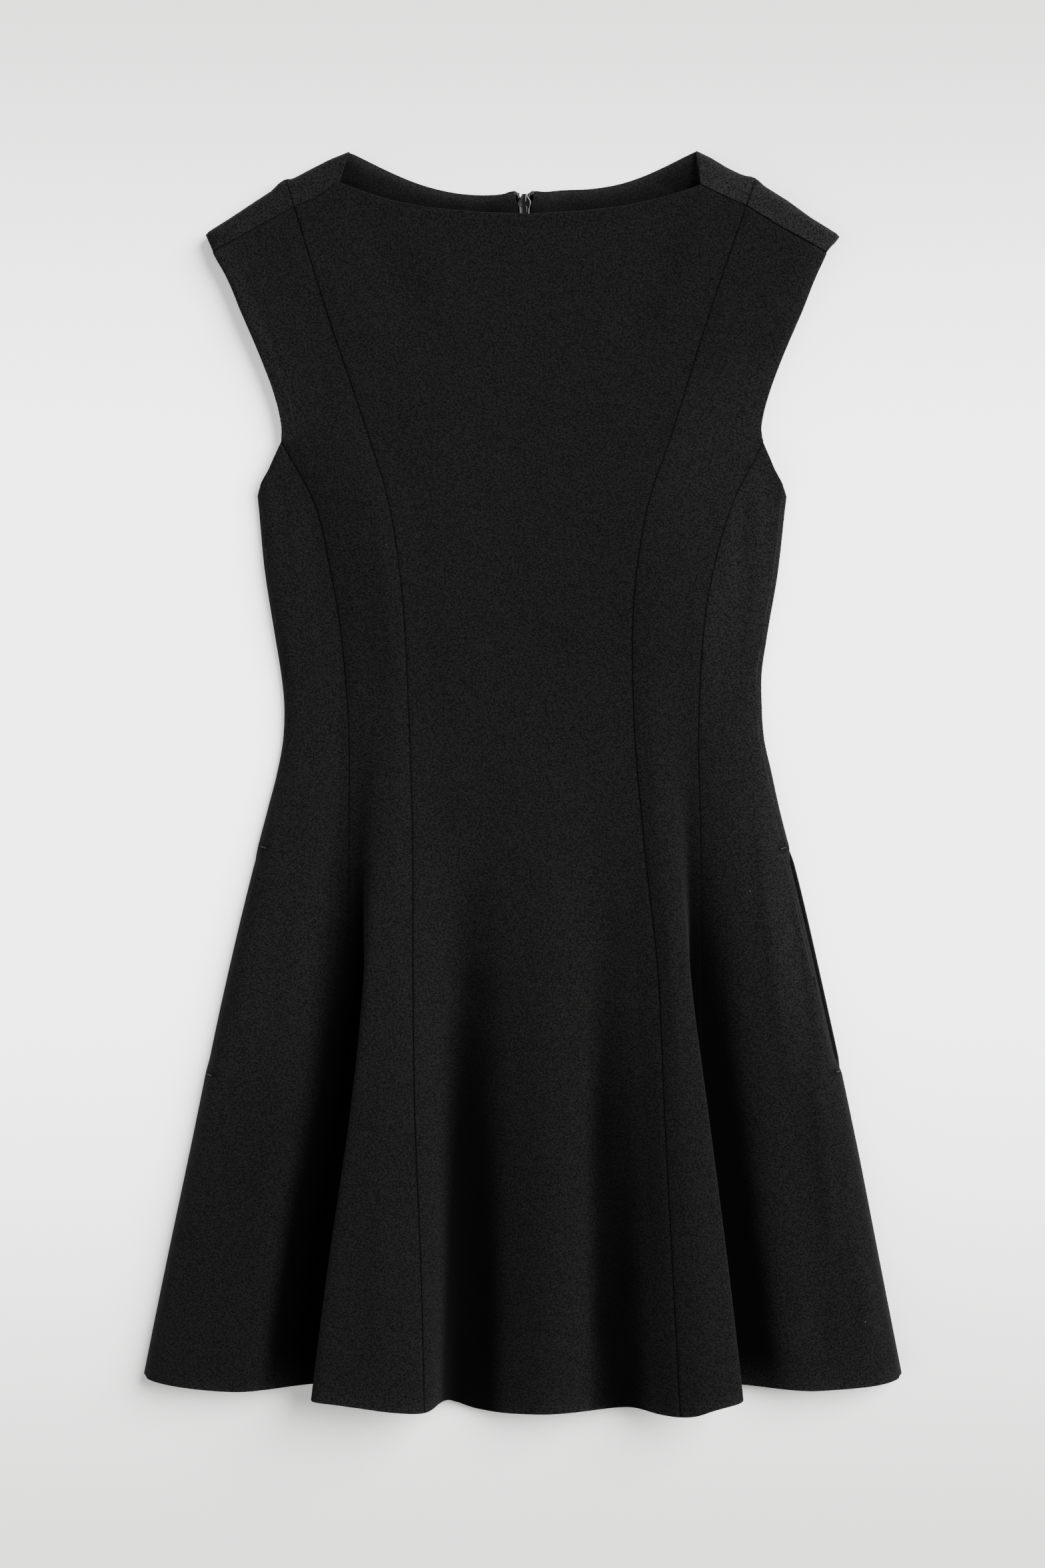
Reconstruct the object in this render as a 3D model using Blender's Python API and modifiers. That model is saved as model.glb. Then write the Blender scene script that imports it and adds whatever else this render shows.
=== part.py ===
"""Flared mini dress of felted wool, laid flat on its back with the front up.

The origin lies on the table under the middle of the dress. +Y runs to the neck, +X to the
viewer's right and +Z up out of the table. Left and right are the viewer's.

Each cloth panel is an open surface, lofted through sections across the dress and given its
wall by Solidify. The sections of the front pass through named fold lines.
"""

from math import cos, pi, radians, sin

import bmesh
import bpy
import numpy as np
from mathutils import Matrix, Vector

MM = 0.001

# Walls and clearances, mm.
WALL = 1.8  # felted wool, one layer
FACING_WALL = 1.4
TAPE_WALL = 0.5
BAG_WALL = 1.0
GAP = 0.3  # between neighbouring pieces
BACK_LEVEL = WALL / 2  # middle of the back layer where it lies on the table
SIDE_LEVEL = WALL * 1.5 + GAP  # middle of the front layer where it meets the back
MIDDLE_OF_OUTLINE = (-0.4, 4.0)  # x and y in the tables below; this point becomes the origin

# Fold lines of the front, numbered from the side seam towards the middle: side, round, crest,
# outer, tuck, fold, ridge, seam and drape. "outer" is the seam of the outer panel, hidden in
# the skirt's deep fold; "tuck" is the inner bend of that fold and "fold" its overhanging edge;
# "seam" is the princess seam; "drape" is a soft trough.
SIDE, OUTER, SEAM, DRAPE, MIDDLE = 0, 3, 7, 8, 9
LAST = 2 * MIDDLE  # the side seam of the right half
ROUND_INSET = 6.5  # from the side seam to the round line, mm
CREST_SHARE = 0.47  # the crest's place between the side seam and the outer seam

# Distance from the centre line at each station, mm.
LEFT_ACROSS = (
    # y   outer   tuck   fold  ridge   seam  drape
    (430, 246.0, 226.0, 207.0, 188.0, 169.0, 131.6),
    (330, 197.5, 182.0, 167.0, 152.0, 138.0, 106.0),
    (244, 172.0, 156.0, 140.0, 124.0, 109.0, 76.0),
    (205, 150.5, 137.0, 123.0, 109.0, 97.0, 66.0),
    (150, 136.5, 124.0, 112.0, 99.0, 88.0, 57.0),
    (56, 125.0, 115.0, 104.0, 92.0, 82.0, 46.0),
    (-40, 124.0, 115.0, 107.0, 94.0, 79.0, 31.0),
    (-130, 124.0, 113.0, 111.0, 99.0, 78.5, 30.0),
    (-230, 124.0, 108.0, 121.0, 106.0, 77.0, 32.5),
    (-340, 126.0, 109.0, 136.0, 116.0, 72.5, 33.0),
    (-445, 132.0, 118.0, 148.0, 124.0, 70.0, 41.0),
)
RIGHT_ACROSS = (
    # y   outer   tuck   fold  ridge   seam  drape
    (430, 243.0, 224.0, 205.0, 186.0, 166.0, 126.6),
    (330, 194.5, 178.0, 163.0, 147.0, 130.5, 106.0),
    (244, 170.4, 155.0, 140.0, 122.0, 103.5, 82.0),
    (205, 150.5, 138.0, 125.0, 108.0, 90.0, 72.0),
    (150, 134.0, 122.0, 110.0, 95.0, 80.0, 60.0),
    (56, 124.6, 114.0, 103.0, 91.0, 78.0, 52.0),
    (-40, 125.7, 117.0, 108.0, 97.0, 85.5, 62.0),
    (-130, 126.0, 118.0, 116.0, 106.0, 95.0, 72.0),
    (-230, 128.0, 114.0, 129.0, 114.0, 99.5, 74.0),
    (-340, 132.0, 119.0, 143.0, 124.0, 105.0, 74.0),
    (-445, 140.0, 130.0, 155.0, 133.0, 110.5, 76.0),
)
# Height of the layer's middle above the table at each station, mm.
LEFT_HEIGHT = (
    # y  round crest outer  tuck  fold ridge  seam drape
    (430, 7.0, 7.5, 12.0, 13.5, 13.5, 13.5, 13.5, 13.5),
    (330, 7.0, 7.5, 11.0, 14.0, 14.0, 13.5, 12.5, 13.0),
    (244, 7.0, 7.5, 7.5, 12.0, 13.5, 13.5, 12.0, 13.5),
    (205, 8.0, 10.5, 10.5, 13.0, 15.0, 15.5, 14.0, 14.5),
    (150, 8.5, 12.0, 11.5, 14.0, 16.0, 17.0, 15.5, 15.0),
    (56, 7.5, 11.0, 9.5, 10.5, 12.0, 13.0, 11.5, 11.5),
    (-40, 9.0, 14.0, 8.5, 9.0, 15.0, 17.0, 14.0, 10.5),
    (-130, 10.5, 18.5, 7.5, 8.5, 18.5, 24.5, 18.0, 9.0),
    (-230, 11.5, 22.5, 7.0, 9.0, 22.5, 32.0, 23.0, 8.5),
    (-340, 12.0, 25.5, 7.5, 10.0, 25.0, 38.0, 27.0, 8.0),
    (-445, 12.0, 28.0, 8.5, 11.0, 27.0, 42.0, 30.0, 8.0),
)
RIGHT_HEIGHT = (
    # y  round crest outer  tuck  fold ridge  seam drape
    (430, 7.0, 7.5, 12.0, 13.5, 13.5, 13.5, 13.5, 13.5),
    (330, 7.0, 7.5, 11.0, 14.0, 14.0, 13.5, 12.5, 13.0),
    (244, 7.0, 7.5, 7.5, 12.0, 13.5, 13.5, 12.0, 13.0),
    (205, 8.0, 10.5, 10.5, 13.0, 15.0, 15.5, 14.0, 14.0),
    (150, 8.5, 12.0, 11.5, 14.0, 16.0, 17.0, 15.5, 14.5),
    (56, 7.5, 11.0, 9.5, 10.5, 12.0, 13.0, 11.5, 12.0),
    (-40, 9.0, 13.5, 8.5, 9.5, 15.5, 18.0, 15.0, 12.5),
    (-130, 10.5, 17.0, 7.5, 8.5, 19.0, 25.0, 21.0, 13.0),
    (-230, 11.5, 21.0, 7.0, 9.0, 23.0, 32.0, 27.0, 14.0),
    (-340, 12.0, 24.0, 7.5, 10.0, 25.0, 38.0, 32.0, 13.5),
    (-445, 12.0, 26.0, 8.5, 11.0, 27.0, 41.0, 35.0, 13.0),
)
# The crest between the two troughs, mm.
MIDDLE_LINE = (
    # y  across height
    (430, -2.0, 14.0),
    (330, 0.0, 13.0),
    (244, 0.0, 13.0),
    (205, 0.0, 13.5),
    (150, 0.0, 13.5),
    (56, 1.0, 12.0),
    (-40, 12.0, 14.0),
    (-130, 19.0, 17.0),
    (-230, 20.0, 20.0),
    (-340, 20.0, 24.0),
    (-445, 20.0, 26.0),
)
# Outline of the laid dress, distance from the centre line, mm.
SIDE_OUTLINE = (
    # y    left  right
    (244.0, 194.0, 192.0),
    (205.6, 189.0, 187.1),
    (151.0, 183.7, 180.9),
    (103.0, 176.1, 172.8),
    (79.0, 172.3, 169.5),
    (56.0, 170.0, 169.5),
    (32.0, 170.9, 171.4),
    (8.0, 175.2, 176.6),
    (-16.0, 181.4, 181.8),
    (-63.0, 193.7, 194.2),
    (-158.0, 216.1, 216.1),
    (-253.0, 235.6, 236.5),
    (-348.0, 255.5, 255.1),
    (-445.0, 275.0, 274.0),
)
ARMHOLE_OUTLINE = (
    # y    left  right
    (380.0, 221.3, 216.0),
    (357.8, 208.9, 205.6),
    (338.7, 200.9, 198.0),
    (300.7, 185.6, 182.8),
    (281.7, 178.5, 175.7),
    (262.7, 173.3, 170.4),
    (253.2, 171.9, 169.0),
    (244.2, 172.1, 170.0),
)
# Armhole across the top of each outer panel: x and y, mm.
LEFT_UNDERARM = ((-189.0, 205.6), (-186.1, 215.1), (-180.9, 224.6), (-172.1, 244.2))
RIGHT_UNDERARM = ((170.0, 244.2), (178.5, 224.6), (183.7, 215.1), (187.1, 205.6))
UNDERARM_TOP = 244.2  # where the outer seam reaches the armhole
# Forward shoulder seams and the front neck edge between them: x and y, mm.
FRONT_TOP = (
    (-221.3, 380.0),
    (-192.6, 396.3),
    (-162.9, 412.8),
    (-150.2, 418.1),
    (-131.6, 430.2),
    (-112.8, 423.4),
    (-95.9, 417.7),
    (-69.6, 412.4),
    (-32.1, 408.9),
    (1.9, 407.7),
    (43.2, 409.8),
    (71.4, 413.4),
    (95.8, 418.6),
    (114.7, 424.3),
    (126.6, 428.4),
    (144.9, 419.5),
    (158.5, 413.6),
    (183.1, 398.3),
    (216.0, 379.0),
)
# Hem under each fold line, mm.
HEM_SIDE = (-419.5, -421.5, -427.0, -424.0, -427.0, -433.0, -435.0, -441.0, -437.5)
HEM_MIDDLE = -443.0
HEM_OTHER_SIDE = (-419.5, -421.5, -425.0, -424.0, -427.0, -432.5, -437.0, -443.0, -440.5)

# The top of the laid dress, where the back rolls forward over the shoulder: x and y, mm.
LEFT_ROLL = (
    (-226.1, 392.1),
    (-208.6, 404.3),
    (-192.6, 414.9),
    (-168.8, 429.7),
    (-152.3, 436.7),
    (-137.4, 444.1),
    (-123.7, 449.4),
)
RIGHT_ROLL = (
    (122.4, 450.1),
    (132.2, 445.5),
    (144.9, 437.8),
    (165.2, 430.6),
    (187.4, 416.2),
    (204.3, 403.4),
    (224.0, 389.8),
)
LEFT_BACK_CORNER, RIGHT_BACK_CORNER = -168.8, 165.2  # princess seam on the roll, x
ROLL_DEPTH = 6.0  # from the outline in to where the roll lies flat, mm
# Back neck edge from the zip to the shoulder, distance from the centre line and y, mm.
LEFT_BACK_NECK = (
    (2.8, 421.2),
    (7.5, 422.6),
    (14.0, 420.3),
    (26.0, 418.8),
    (50.8, 420.5),
    (69.6, 426.2),
    (97.7, 436.5),
    (123.2, 449.4),
)
RIGHT_BACK_NECK = (
    (2.8, 420.8),
    (7.5, 422.6),
    (14.0, 421.6),
    (26.0, 422.4),
    (50.8, 424.2),
    (69.6, 427.4),
    (97.7, 438.4),
    (122.0, 450.1),
)
NECK_RISE_REACH = 24.0  # length over which the neck edge lifts into the shoulder roll, mm
# Back princess seam, distance from the centre line, mm.
BACK_SEAM = (
    # y    left  right
    (424.0, 166.7, 163.0),
    (330.0, 142.0, 140.0),
    (244.0, 114.0, 112.0),
    (205.6, 103.0, 101.0),
    (150.0, 93.0, 91.0),
    (56.0, 84.0, 84.0),
    (-40.0, 90.0, 90.0),
    (-150.0, 103.0, 103.0),
    (-300.0, 119.0, 119.0),
    (-445.0, 134.0, 134.0),
)
BACK_INSET = 1.0  # the back's edge lies this far inside the front's, mm
BACK_HEM_SIDE, BACK_HEM_MIDDLE = -416.5, -433.0
# Soft folds of the back skirt: x at the hem, x where each ends, y there, rise at the hem,
# half width at the hem, mm.
BACK_FOLDS = (
    (-97.0, -90.0, -215.0, 4.0, 26.0),
    (-208.0, -190.0, -262.0, 3.0, 24.0),
    (103.0, 96.0, -225.0, 3.5, 25.0),
    (207.0, 190.0, -262.0, 4.0, 25.0),
)

# The back zip. The cloth lies over the pull tab, so it is lifted there.
ZIP_LIFT = 3.6
LIFT_FLAT, LIFT_END = 8.0, 30.0  # half widths of the lifted stretch, mm
LIFT_TOP, LIFT_FOOT = 373.0, 331.0
ZIP_SPREAD = ((388.0, 0.15), (398.0, 0.7), (414.0, 1.2), (421.0, 2.8))  # y, half gap
ZIP_FOOT = -60.0
TAPE_WIDTH = 12.5
TAPE_INNER = 1.2  # nearest that the tape comes to the centre line
TAPE_OVERHANG = 0.2  # the tape stands this far past the cloth's edge
FACING_START = 7.5
FACING_DEPTH_ROWS = 1  # rows of the chest that the facing covers below the neck's roll
FACING_STEP = (2.0, 14.0)  # the facing comes down off the tape from here, over this width, mm

# Slider and pull tab.
TAPE_TOP = ZIP_LIFT + WALL + GAP + TAPE_WALL
PLATE_BOTTOM = TAPE_TOP + GAP
PLATE_THICKNESS = 1.3
SLIDER_TOP, SLIDER_LENGTH = 420.4, 20.0
SLIDER_WIDTH, SLIDER_WAIST = 10.0, 7.2
RIM_RADIUS = 0.55
HINGE_Y, HINGE_Z = 411.0, 2.4
CROWN_RADIUS, CROWN_WIRE = 1.6, 0.5
TAB_LENGTH, TAB_THICKNESS = 21.0, 1.0
TAB_NECK, TAB_END = 2.6, 3.3  # half widths
BAR = 0.45  # half width of the bar that turns in the crown
WINDOW_HALF, WINDOW_LENGTH = 1.5, 2.9
RIDGE_RADIUS, RIDGE_START, RIDGE_END = 0.95, 2.0, 8.4  # on the plate, from its top

# Top stops: size, distance from the centre line, turn in degrees.
STOP = (2.5, 2.0, 1.0)
STOP_X, STOP_TURN, STOP_EDGE = 5.9, 24.0, 0.25

# Pocket bags: y of the mouth's ends, depth from the mouth.
POCKET_TOP, POCKET_FOOT = -50.0, -198.0
POCKET_DEPTH, POCKET_INSET = 104.0, 9.0
POCKET_REACH = 34.0  # the bag hangs this far below its mouth
POCKET_RISE = 6.0  # and stands this far above it
POCKET_ROUND = 6.0  # rounds the bag's two ends

# Subdivision of the front between its fold lines, and the rows along each panel.
FRONT_STEPS = (1, 3, 3, 2, 3, 3, 2, 3, 3)
BODY_ROWS, CHEST_ROWS = 16, 4
BACK_BODY_ROWS, BACK_CHEST_ROWS = 10, 5
ROLL_STEPS = 3  # in each quarter of the shoulder roll


def smooth(at, rows):
    """A table's values at the given places: cubic curves through its rows, with matching slopes."""
    rows = np.array(sorted(rows), float)
    where, values = rows[:, 0], rows[:, 1:]
    steps = np.diff(where)[:, None]
    rises = np.diff(values, axis=0) / steps
    inner = (rises[:-1] * steps[1:] + rises[1:] * steps[:-1]) / (steps[1:] + steps[:-1])
    slopes = np.vstack([rises[:1], inner, rises[-1:]])
    at = np.clip(np.asarray(at, float), where[0], where[-1])
    i = np.clip(np.searchsorted(where, at) - 1, 0, len(where) - 2)
    step = steps[i]
    t = ((at - where[i]) / step[..., 0])[..., None]
    return (
        (2 * t**3 - 3 * t**2 + 1) * values[i]
        + (t**3 - 2 * t**2 + t) * step * slopes[i]
        + (3 * t**2 - 2 * t**3) * values[i + 1]
        + (t**3 - t**2) * step * slopes[i + 1]
    )


def polyline(at, points):
    points = np.array(sorted(points), float)
    return np.interp(at, points[:, 0], points[:, 1])


def ease(t):
    """0 below 0, 1 above 1 and a smooth step between."""
    t = np.clip(t, 0, 1)
    return t * t * (3 - 2 * t)


def half_of_front(y, side):
    """x and z of the nine fold lines of one half at each y; side is 0 for left, 1 for right."""
    across = smooth(y, (LEFT_ACROSS, RIGHT_ACROSS)[side])
    height = smooth(y, (LEFT_HEIGHT, RIGHT_HEIGHT)[side])
    edge = smooth(y, SIDE_OUTLINE)[..., side]
    armhole = smooth(y, ARMHOLE_OUTLINE)[..., side]
    outer = np.where(y > UNDERARM_TOP, armhole, across[..., 0])
    rounded, crest = edge - ROUND_INSET, edge + CREST_SHARE * (outer - edge)
    inner = np.moveaxis(across[..., 1:], -1, 0)
    x = np.stack([edge, rounded, crest, outer, *inner], -1)
    z = np.concatenate([np.full(y.shape + (1,), SIDE_LEVEL), height], -1)
    return np.stack([x * (2 * side - 1), z], -1)


def front_lines(y):
    """x and z of all nineteen fold lines at each y, left to right."""
    middle = smooth(y, MIDDLE_LINE)[..., None, :]
    left, right = half_of_front(y, 0), half_of_front(y, 1)
    return np.concatenate([left, middle, right[..., ::-1, :]], -2)


def front_at(line, y):
    """Points of the front layer at fractional fold line numbers: the section at each y is a
    smooth curve through the fold lines, spaced by the distances between them."""
    points = front_lines(y)
    spans = np.linalg.norm(np.diff(points, axis=-2), axis=-1)[..., None]
    rises = np.diff(points, axis=-2) / spans
    before, after = spans[..., :-1, :], spans[..., 1:, :]
    inner = (rises[..., :-1, :] * after + rises[..., 1:, :] * before) / (before + after)
    slopes = np.concatenate([rises[..., :1, :], inner, rises[..., -1:, :]], -2)
    i = np.clip(np.floor(line).astype(int), 0, LAST - 1)
    t = (line - i)[..., None]
    pick = i[..., None, None]

    def take(values, step=0):
        return np.take_along_axis(values, pick + step, -2)[..., 0, :]

    span = take(spans)
    xz = (
        (2 * t**3 - 3 * t**2 + 1) * take(points)
        + (t**3 - 2 * t**2 + t) * span * take(slopes)
        + (3 * t**2 - 2 * t**3) * take(points, 1)
        + (t**3 - t**2) * span * take(slopes, 1)
    )
    return np.stack([xz[..., 0], y, xz[..., 1]], -1)


def top_of_front(line):
    """y where each fold line meets the shoulder seam, the neck edge or the underarm."""
    y = np.full(np.shape(line), 400.0)
    low = (line <= OUTER) | (line >= LAST - OUTER)
    y = np.where(low, 220.0, y)
    for _ in range(40):
        x = front_at(line, y)[..., 0]
        under = np.where(x < 0, polyline(x, LEFT_UNDERARM), polyline(x, RIGHT_UNDERARM))
        y = 0.5 * y + 0.5 * np.where(low, under, polyline(x, FRONT_TOP))
    return y


def hem_of_front(line):
    hems = (*HEM_SIDE, HEM_MIDDLE, *HEM_OTHER_SIDE[::-1])
    return smooth(line, list(enumerate(hems)))[..., 0]


def steps_between(first, last):
    """Fractional fold line numbers from one line to another, with each interval's own steps."""
    counts = (*FRONT_STEPS, *FRONT_STEPS[::-1])
    parts = [np.arange(counts[i]) / counts[i] + i for i in range(first, last)]
    return np.append(np.concatenate(parts), last)


def nudged(line, y, first, last):
    """The line numbers again, with a panel's two end lines half a gap inside their seams."""
    line = line.copy()
    for end, step in ((first, 1), (last, -1)):
        if end in (SIDE, LAST):
            continue
        lines = front_lines(y)
        span = np.linalg.norm(lines[..., end + step, :] - lines[..., end, :], axis=-1)
        line = np.where(line == end, end + step * GAP / 2 / span, line)
    return line


def front_grid(first, last, chest=True):
    """Rows of points of the front between two fold lines, from the hem up.

    The body's rows reach the underarm and the chest's rows go on to the shoulder and neck."""
    line = steps_between(first, last)
    hem = hem_of_front(line)
    low = (line < OUTER) | (line > LAST - OUTER)
    knee = np.where(low, top_of_front(np.where(low, line, SIDE)), UNDERARM_TOP)
    up = np.linspace(0, 1, BODY_ROWS + 1)[:, None]
    y = hem + (knee - hem) * up
    if chest:
        top = top_of_front(np.clip(line, OUTER + 1e-6, LAST - OUTER - 1e-6)) - GAP / 2
        more = np.linspace(0, 1, CHEST_ROWS + 1)[1:, None]
        y = np.vstack([y, knee + (top - knee) * more])
    lines = np.broadcast_to(line, y.shape)
    return front_at(nudged(lines, y, first, last), y)


def zip_lift(x, y):
    across = 1 - ease((np.abs(x) - LIFT_FLAT) / (LIFT_END - LIFT_FLAT))
    return ZIP_LIFT * across * ease((y - LIFT_FOOT) / (LIFT_TOP - LIFT_FOOT))


def back_height(x, y):
    """Height of the back layer's middle: flat on the table, but for its folds and the zip."""
    z = BACK_LEVEL + zip_lift(x, y)
    for hem_x, end_x, end_y, rise, half_width in BACK_FOLDS:
        along = np.clip((end_y - y) / (end_y - BACK_HEM_MIDDLE), 0, 1)
        place = end_x + (hem_x - end_x) * along
        width = half_width * (0.55 + 0.45 * along)
        z = z + rise * along * (1 - ease(np.abs(x - place) / width))
    return z


def coons(foot, top, inner, outer):
    """A grid of points between four edges: foot and top run across, inner and outer run up."""
    across = np.linspace(0, 1, len(foot))[None, :, None]
    up = np.linspace(0, 1, len(inner))[:, None, None]
    rungs = (1 - up) * foot[None] + up * top[None]
    rails = (1 - across) * inner[:, None] + across * outer[:, None]
    low = (1 - across) * foot[0] + across * foot[-1]
    high = (1 - across) * top[0] + across * top[-1]
    return rungs + rails - (1 - up) * low - up * high


def back_edge(y, side):
    """x of the back's outer edge, as a distance from the centre line."""
    below = smooth(y, SIDE_OUTLINE)[..., side]
    knee = SIDE_OUTLINE[1][0]
    turn = polyline(y, [(v, abs(u)) for u, v in (LEFT_UNDERARM, RIGHT_UNDERARM)[side]])
    above = smooth(y, ARMHOLE_OUTLINE)[..., side]
    x = np.where(y <= knee, below, np.where(y < UNDERARM_TOP, turn, above))
    return x - BACK_INSET


def shoulder(side, first, last):
    """The shoulder roll between two fold lines, in columns that meet the front's.

    Each column runs from where the roll leaves the table, out to the outline, over the top
    and forward to the shoulder seam."""
    line = steps_between(first, last)
    seam = front_at(line, top_of_front(np.clip(line, OUTER + 1e-6, LAST - OUTER - 1e-6)))
    outline = (LEFT_ROLL, RIGHT_ROLL)[side]
    corner = (LEFT_BACK_CORNER, RIGHT_BACK_CORNER)[side]
    tip, neck = (outline[0][0], outline[-1][0]) if side == 0 else (outline[-1][0], outline[0][0])
    marks = {0: (OUTER, SEAM, DRAPE), 1: (LAST - OUTER, LAST - SEAM, LAST - DRAPE)}[side]
    x = polyline(line, list(zip(marks, (tip, corner, neck))))
    out = np.stack([x, polyline(x, outline)], -1)
    inward = seam[:, :2] - out
    inward /= np.linalg.norm(inward, axis=1)[:, None]
    half = (seam[:, 2] - BACK_LEVEL) / 2
    turns = np.linspace(-pi / 2, pi / 2, 2 * ROLL_STEPS + 1)
    rows = []
    for turn in turns:
        flat = out + inward * ROLL_DEPTH * (1 - cos(turn))
        rows.append(np.column_stack([flat, BACK_LEVEL + half + half * sin(turn)]))
    end = seam.copy()
    end[:, :2] -= inward * GAP / 2
    rows.append(end)
    return np.array(rows)


def curve_of(y, x):
    return np.column_stack([x, y])


def back_panels(side):
    """Point grids of the centre back and the side back of one half.

    Returns (centre, centre_keep, outer): keep marks the cells of the centre back's grid that
    exist, because its rows go on over the shoulder but stop at the neck edge."""
    sign = 2 * side - 1
    first, last = ((OUTER, SEAM), (LAST - SEAM, LAST - OUTER))[side]
    outer_roll = shoulder(side, first, last)
    first, last = ((SEAM, DRAPE), (LAST - DRAPE, LAST - SEAM))[side]
    inner_roll = shoulder(side, first, last)
    if side == 0:  # columns run outwards from the middle
        outer_roll, inner_roll = outer_roll[:, ::-1], inner_roll[:, ::-1]
    knee = SIDE_OUTLINE[1][0]

    # The neck edge's columns climb into the roll near the shoulder.
    neck = np.array((LEFT_BACK_NECK, RIGHT_BACK_NECK)[side])[:-1]
    near = 1 - ease((abs(inner_roll[0, 0, 0]) - neck[:, 0]) / NECK_RISE_REACH)
    rise = (inner_roll[ROLL_STEPS, 0, 2] - BACK_LEVEL) * near
    neck_rows = []
    for k in range(ROLL_STEPS + 1):
        turn = -pi / 2 + k * pi / 2 / ROLL_STEPS
        y = neck[:, 1] - ROLL_DEPTH * (1 - k / ROLL_STEPS)
        z = back_height(neck[:, 0], y) + rise * (1 + sin(turn))
        neck_rows.append(np.column_stack([neck[:, 0] * sign, y, z]))
    neck_rows = np.array(neck_rows)
    unused = np.repeat(neck_rows[-1:], ROLL_STEPS + 1, axis=0)
    neck_rows = np.concatenate([neck_rows, unused])
    centre_roll = np.concatenate([neck_rows, inner_roll], axis=1)

    def grid(roll, inner_edge, outer_edge, hem):
        """Body, chest and roll of one panel. The edges give x at each y."""
        top = roll[0, :, :2]
        count = len(top)
        chest_in = np.linspace(knee, top[0, 1], BACK_CHEST_ROWS + 1)
        chest_out = np.linspace(knee, top[-1, 1], BACK_CHEST_ROWS + 1)
        inner = curve_of(chest_in, inner_edge(chest_in))
        outer = curve_of(chest_out, outer_edge(chest_out))
        inner[-1], outer[-1] = top[0], top[-1]
        share = np.linspace(0, 1, count)
        waist = curve_of(np.full(count, knee), inner[0, 0] + (outer[0, 0] - inner[0, 0]) * share)
        chest = coons(waist, top, inner, outer)
        rise_in = np.linspace(hem[0], knee, BACK_BODY_ROWS + 1)
        rise_out = np.linspace(hem[1], knee, BACK_BODY_ROWS + 1)
        low_in = curve_of(rise_in, inner_edge(rise_in))
        low_out = curve_of(rise_out, outer_edge(rise_out))
        foot = low_in[0] + (low_out[0] - low_in[0]) * share[:, None]
        body = coons(foot, waist, low_in, low_out)
        flat = np.concatenate([body[:-1], chest[:-1]])
        x, y = flat[..., 0], flat[..., 1]
        return np.concatenate([np.dstack([x, y, back_height(x, y)]), roll])

    def seam_at(y):
        return sign * smooth(y, BACK_SEAM)[..., side]

    def zip_edge(y):
        return sign * polyline(y, ZIP_SPREAD)

    def outline_at(y):
        return sign * back_edge(y, side)

    hem_seam = BACK_HEM_MIDDLE + 0.45 * (BACK_HEM_SIDE - BACK_HEM_MIDDLE)
    centre = grid(centre_roll, zip_edge, seam_at, (BACK_HEM_MIDDLE, hem_seam))
    outer = grid(outer_roll, seam_at, outline_at, (hem_seam, BACK_HEM_SIDE))
    for panel, column, way in ((centre, -1, -1), (outer, 0, 1)):
        step = panel[:, column + way] - panel[:, column]
        step /= np.linalg.norm(step, axis=1)[:, None]
        panel[:, column] += step * GAP / 2
    keep = np.ones((centre.shape[0] - 1, centre.shape[1] - 1), bool)
    keep[-(ROLL_STEPS + 1) :, : len(neck)] = False
    return centre, keep, outer


def collection(name):
    made = bpy.data.collections.new(name)
    bpy.context.scene.collection.children.link(made)
    return made


def finish_of(name, colour, roughness, metallic=0.0):
    made = bpy.data.materials.new(name)
    made.use_nodes = True
    shader = made.node_tree.nodes["Principled BSDF"]
    shader.inputs["Base Color"].default_value = (*colour, 1)
    shader.inputs["Roughness"].default_value = roughness
    shader.inputs["Metallic"].default_value = metallic
    return made


def add(name, mesh, finish, where=None):
    piece = bpy.data.objects.new(name, mesh)
    mesh.materials.append(finish)
    (where or dress).objects.link(piece)
    return piece


def surface(name, points, keep=None):
    """An open mesh on a grid of points given in mm; keep says which cells have a face."""
    rows, columns = points.shape[:2]
    cells = np.ones((rows - 1, columns - 1), bool) if keep is None else keep
    i, j = np.nonzero(cells)
    faces = np.column_stack(
        [i * columns + j, i * columns + j + 1, (i + 1) * columns + j + 1, (i + 1) * columns + j]
    )
    used = np.unique(faces)
    number = np.zeros(rows * columns, int)
    number[used] = np.arange(len(used))
    mesh = bpy.data.meshes.new(name)
    mesh.from_pydata((points.reshape(-1, 3)[used] * MM).tolist(), [], number[faces].tolist())
    mesh.shade_smooth()
    return mesh


def cloth(name, points, finish, wall=WALL, keep=None):
    piece = add(name, surface(name, points, keep), finish)
    layer = piece.modifiers.new("wall", "SOLIDIFY")
    layer.thickness = wall * MM
    layer.offset = 0
    return piece


def outline_curve(name, rings, half_thickness, where):
    """A flat outline in X and Y, given in mm, with its holes, as a filled and extruded curve."""
    data = bpy.data.curves.new(name, "CURVE")
    data.dimensions = "2D"
    data.fill_mode = "BOTH"
    data.extrude = half_thickness * MM
    for ring in rings:
        spline = data.splines.new("POLY")
        spline.points.add(len(ring) - 1)
        for point, (x, y) in zip(spline.points, ring):
            point.co = (x * MM, y * MM, 0, 1)
        spline.use_cyclic_u = True
    piece = bpy.data.objects.new(name, data)
    where.objects.link(piece)
    return piece


def wire_curve(name, path, radius, where):
    """A round wire along a path given in mm."""
    data = bpy.data.curves.new(name, "CURVE")
    data.dimensions = "3D"
    data.bevel_depth = radius * MM
    data.bevel_resolution = 1
    data.use_fill_caps = True
    spline = data.splines.new("POLY")
    spline.points.add(len(path) - 1)
    for point, place in zip(spline.points, path):
        point.co = (*(v * MM for v in place), 1)
    piece = bpy.data.objects.new(name, data)
    where.objects.link(piece)
    return piece


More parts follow.
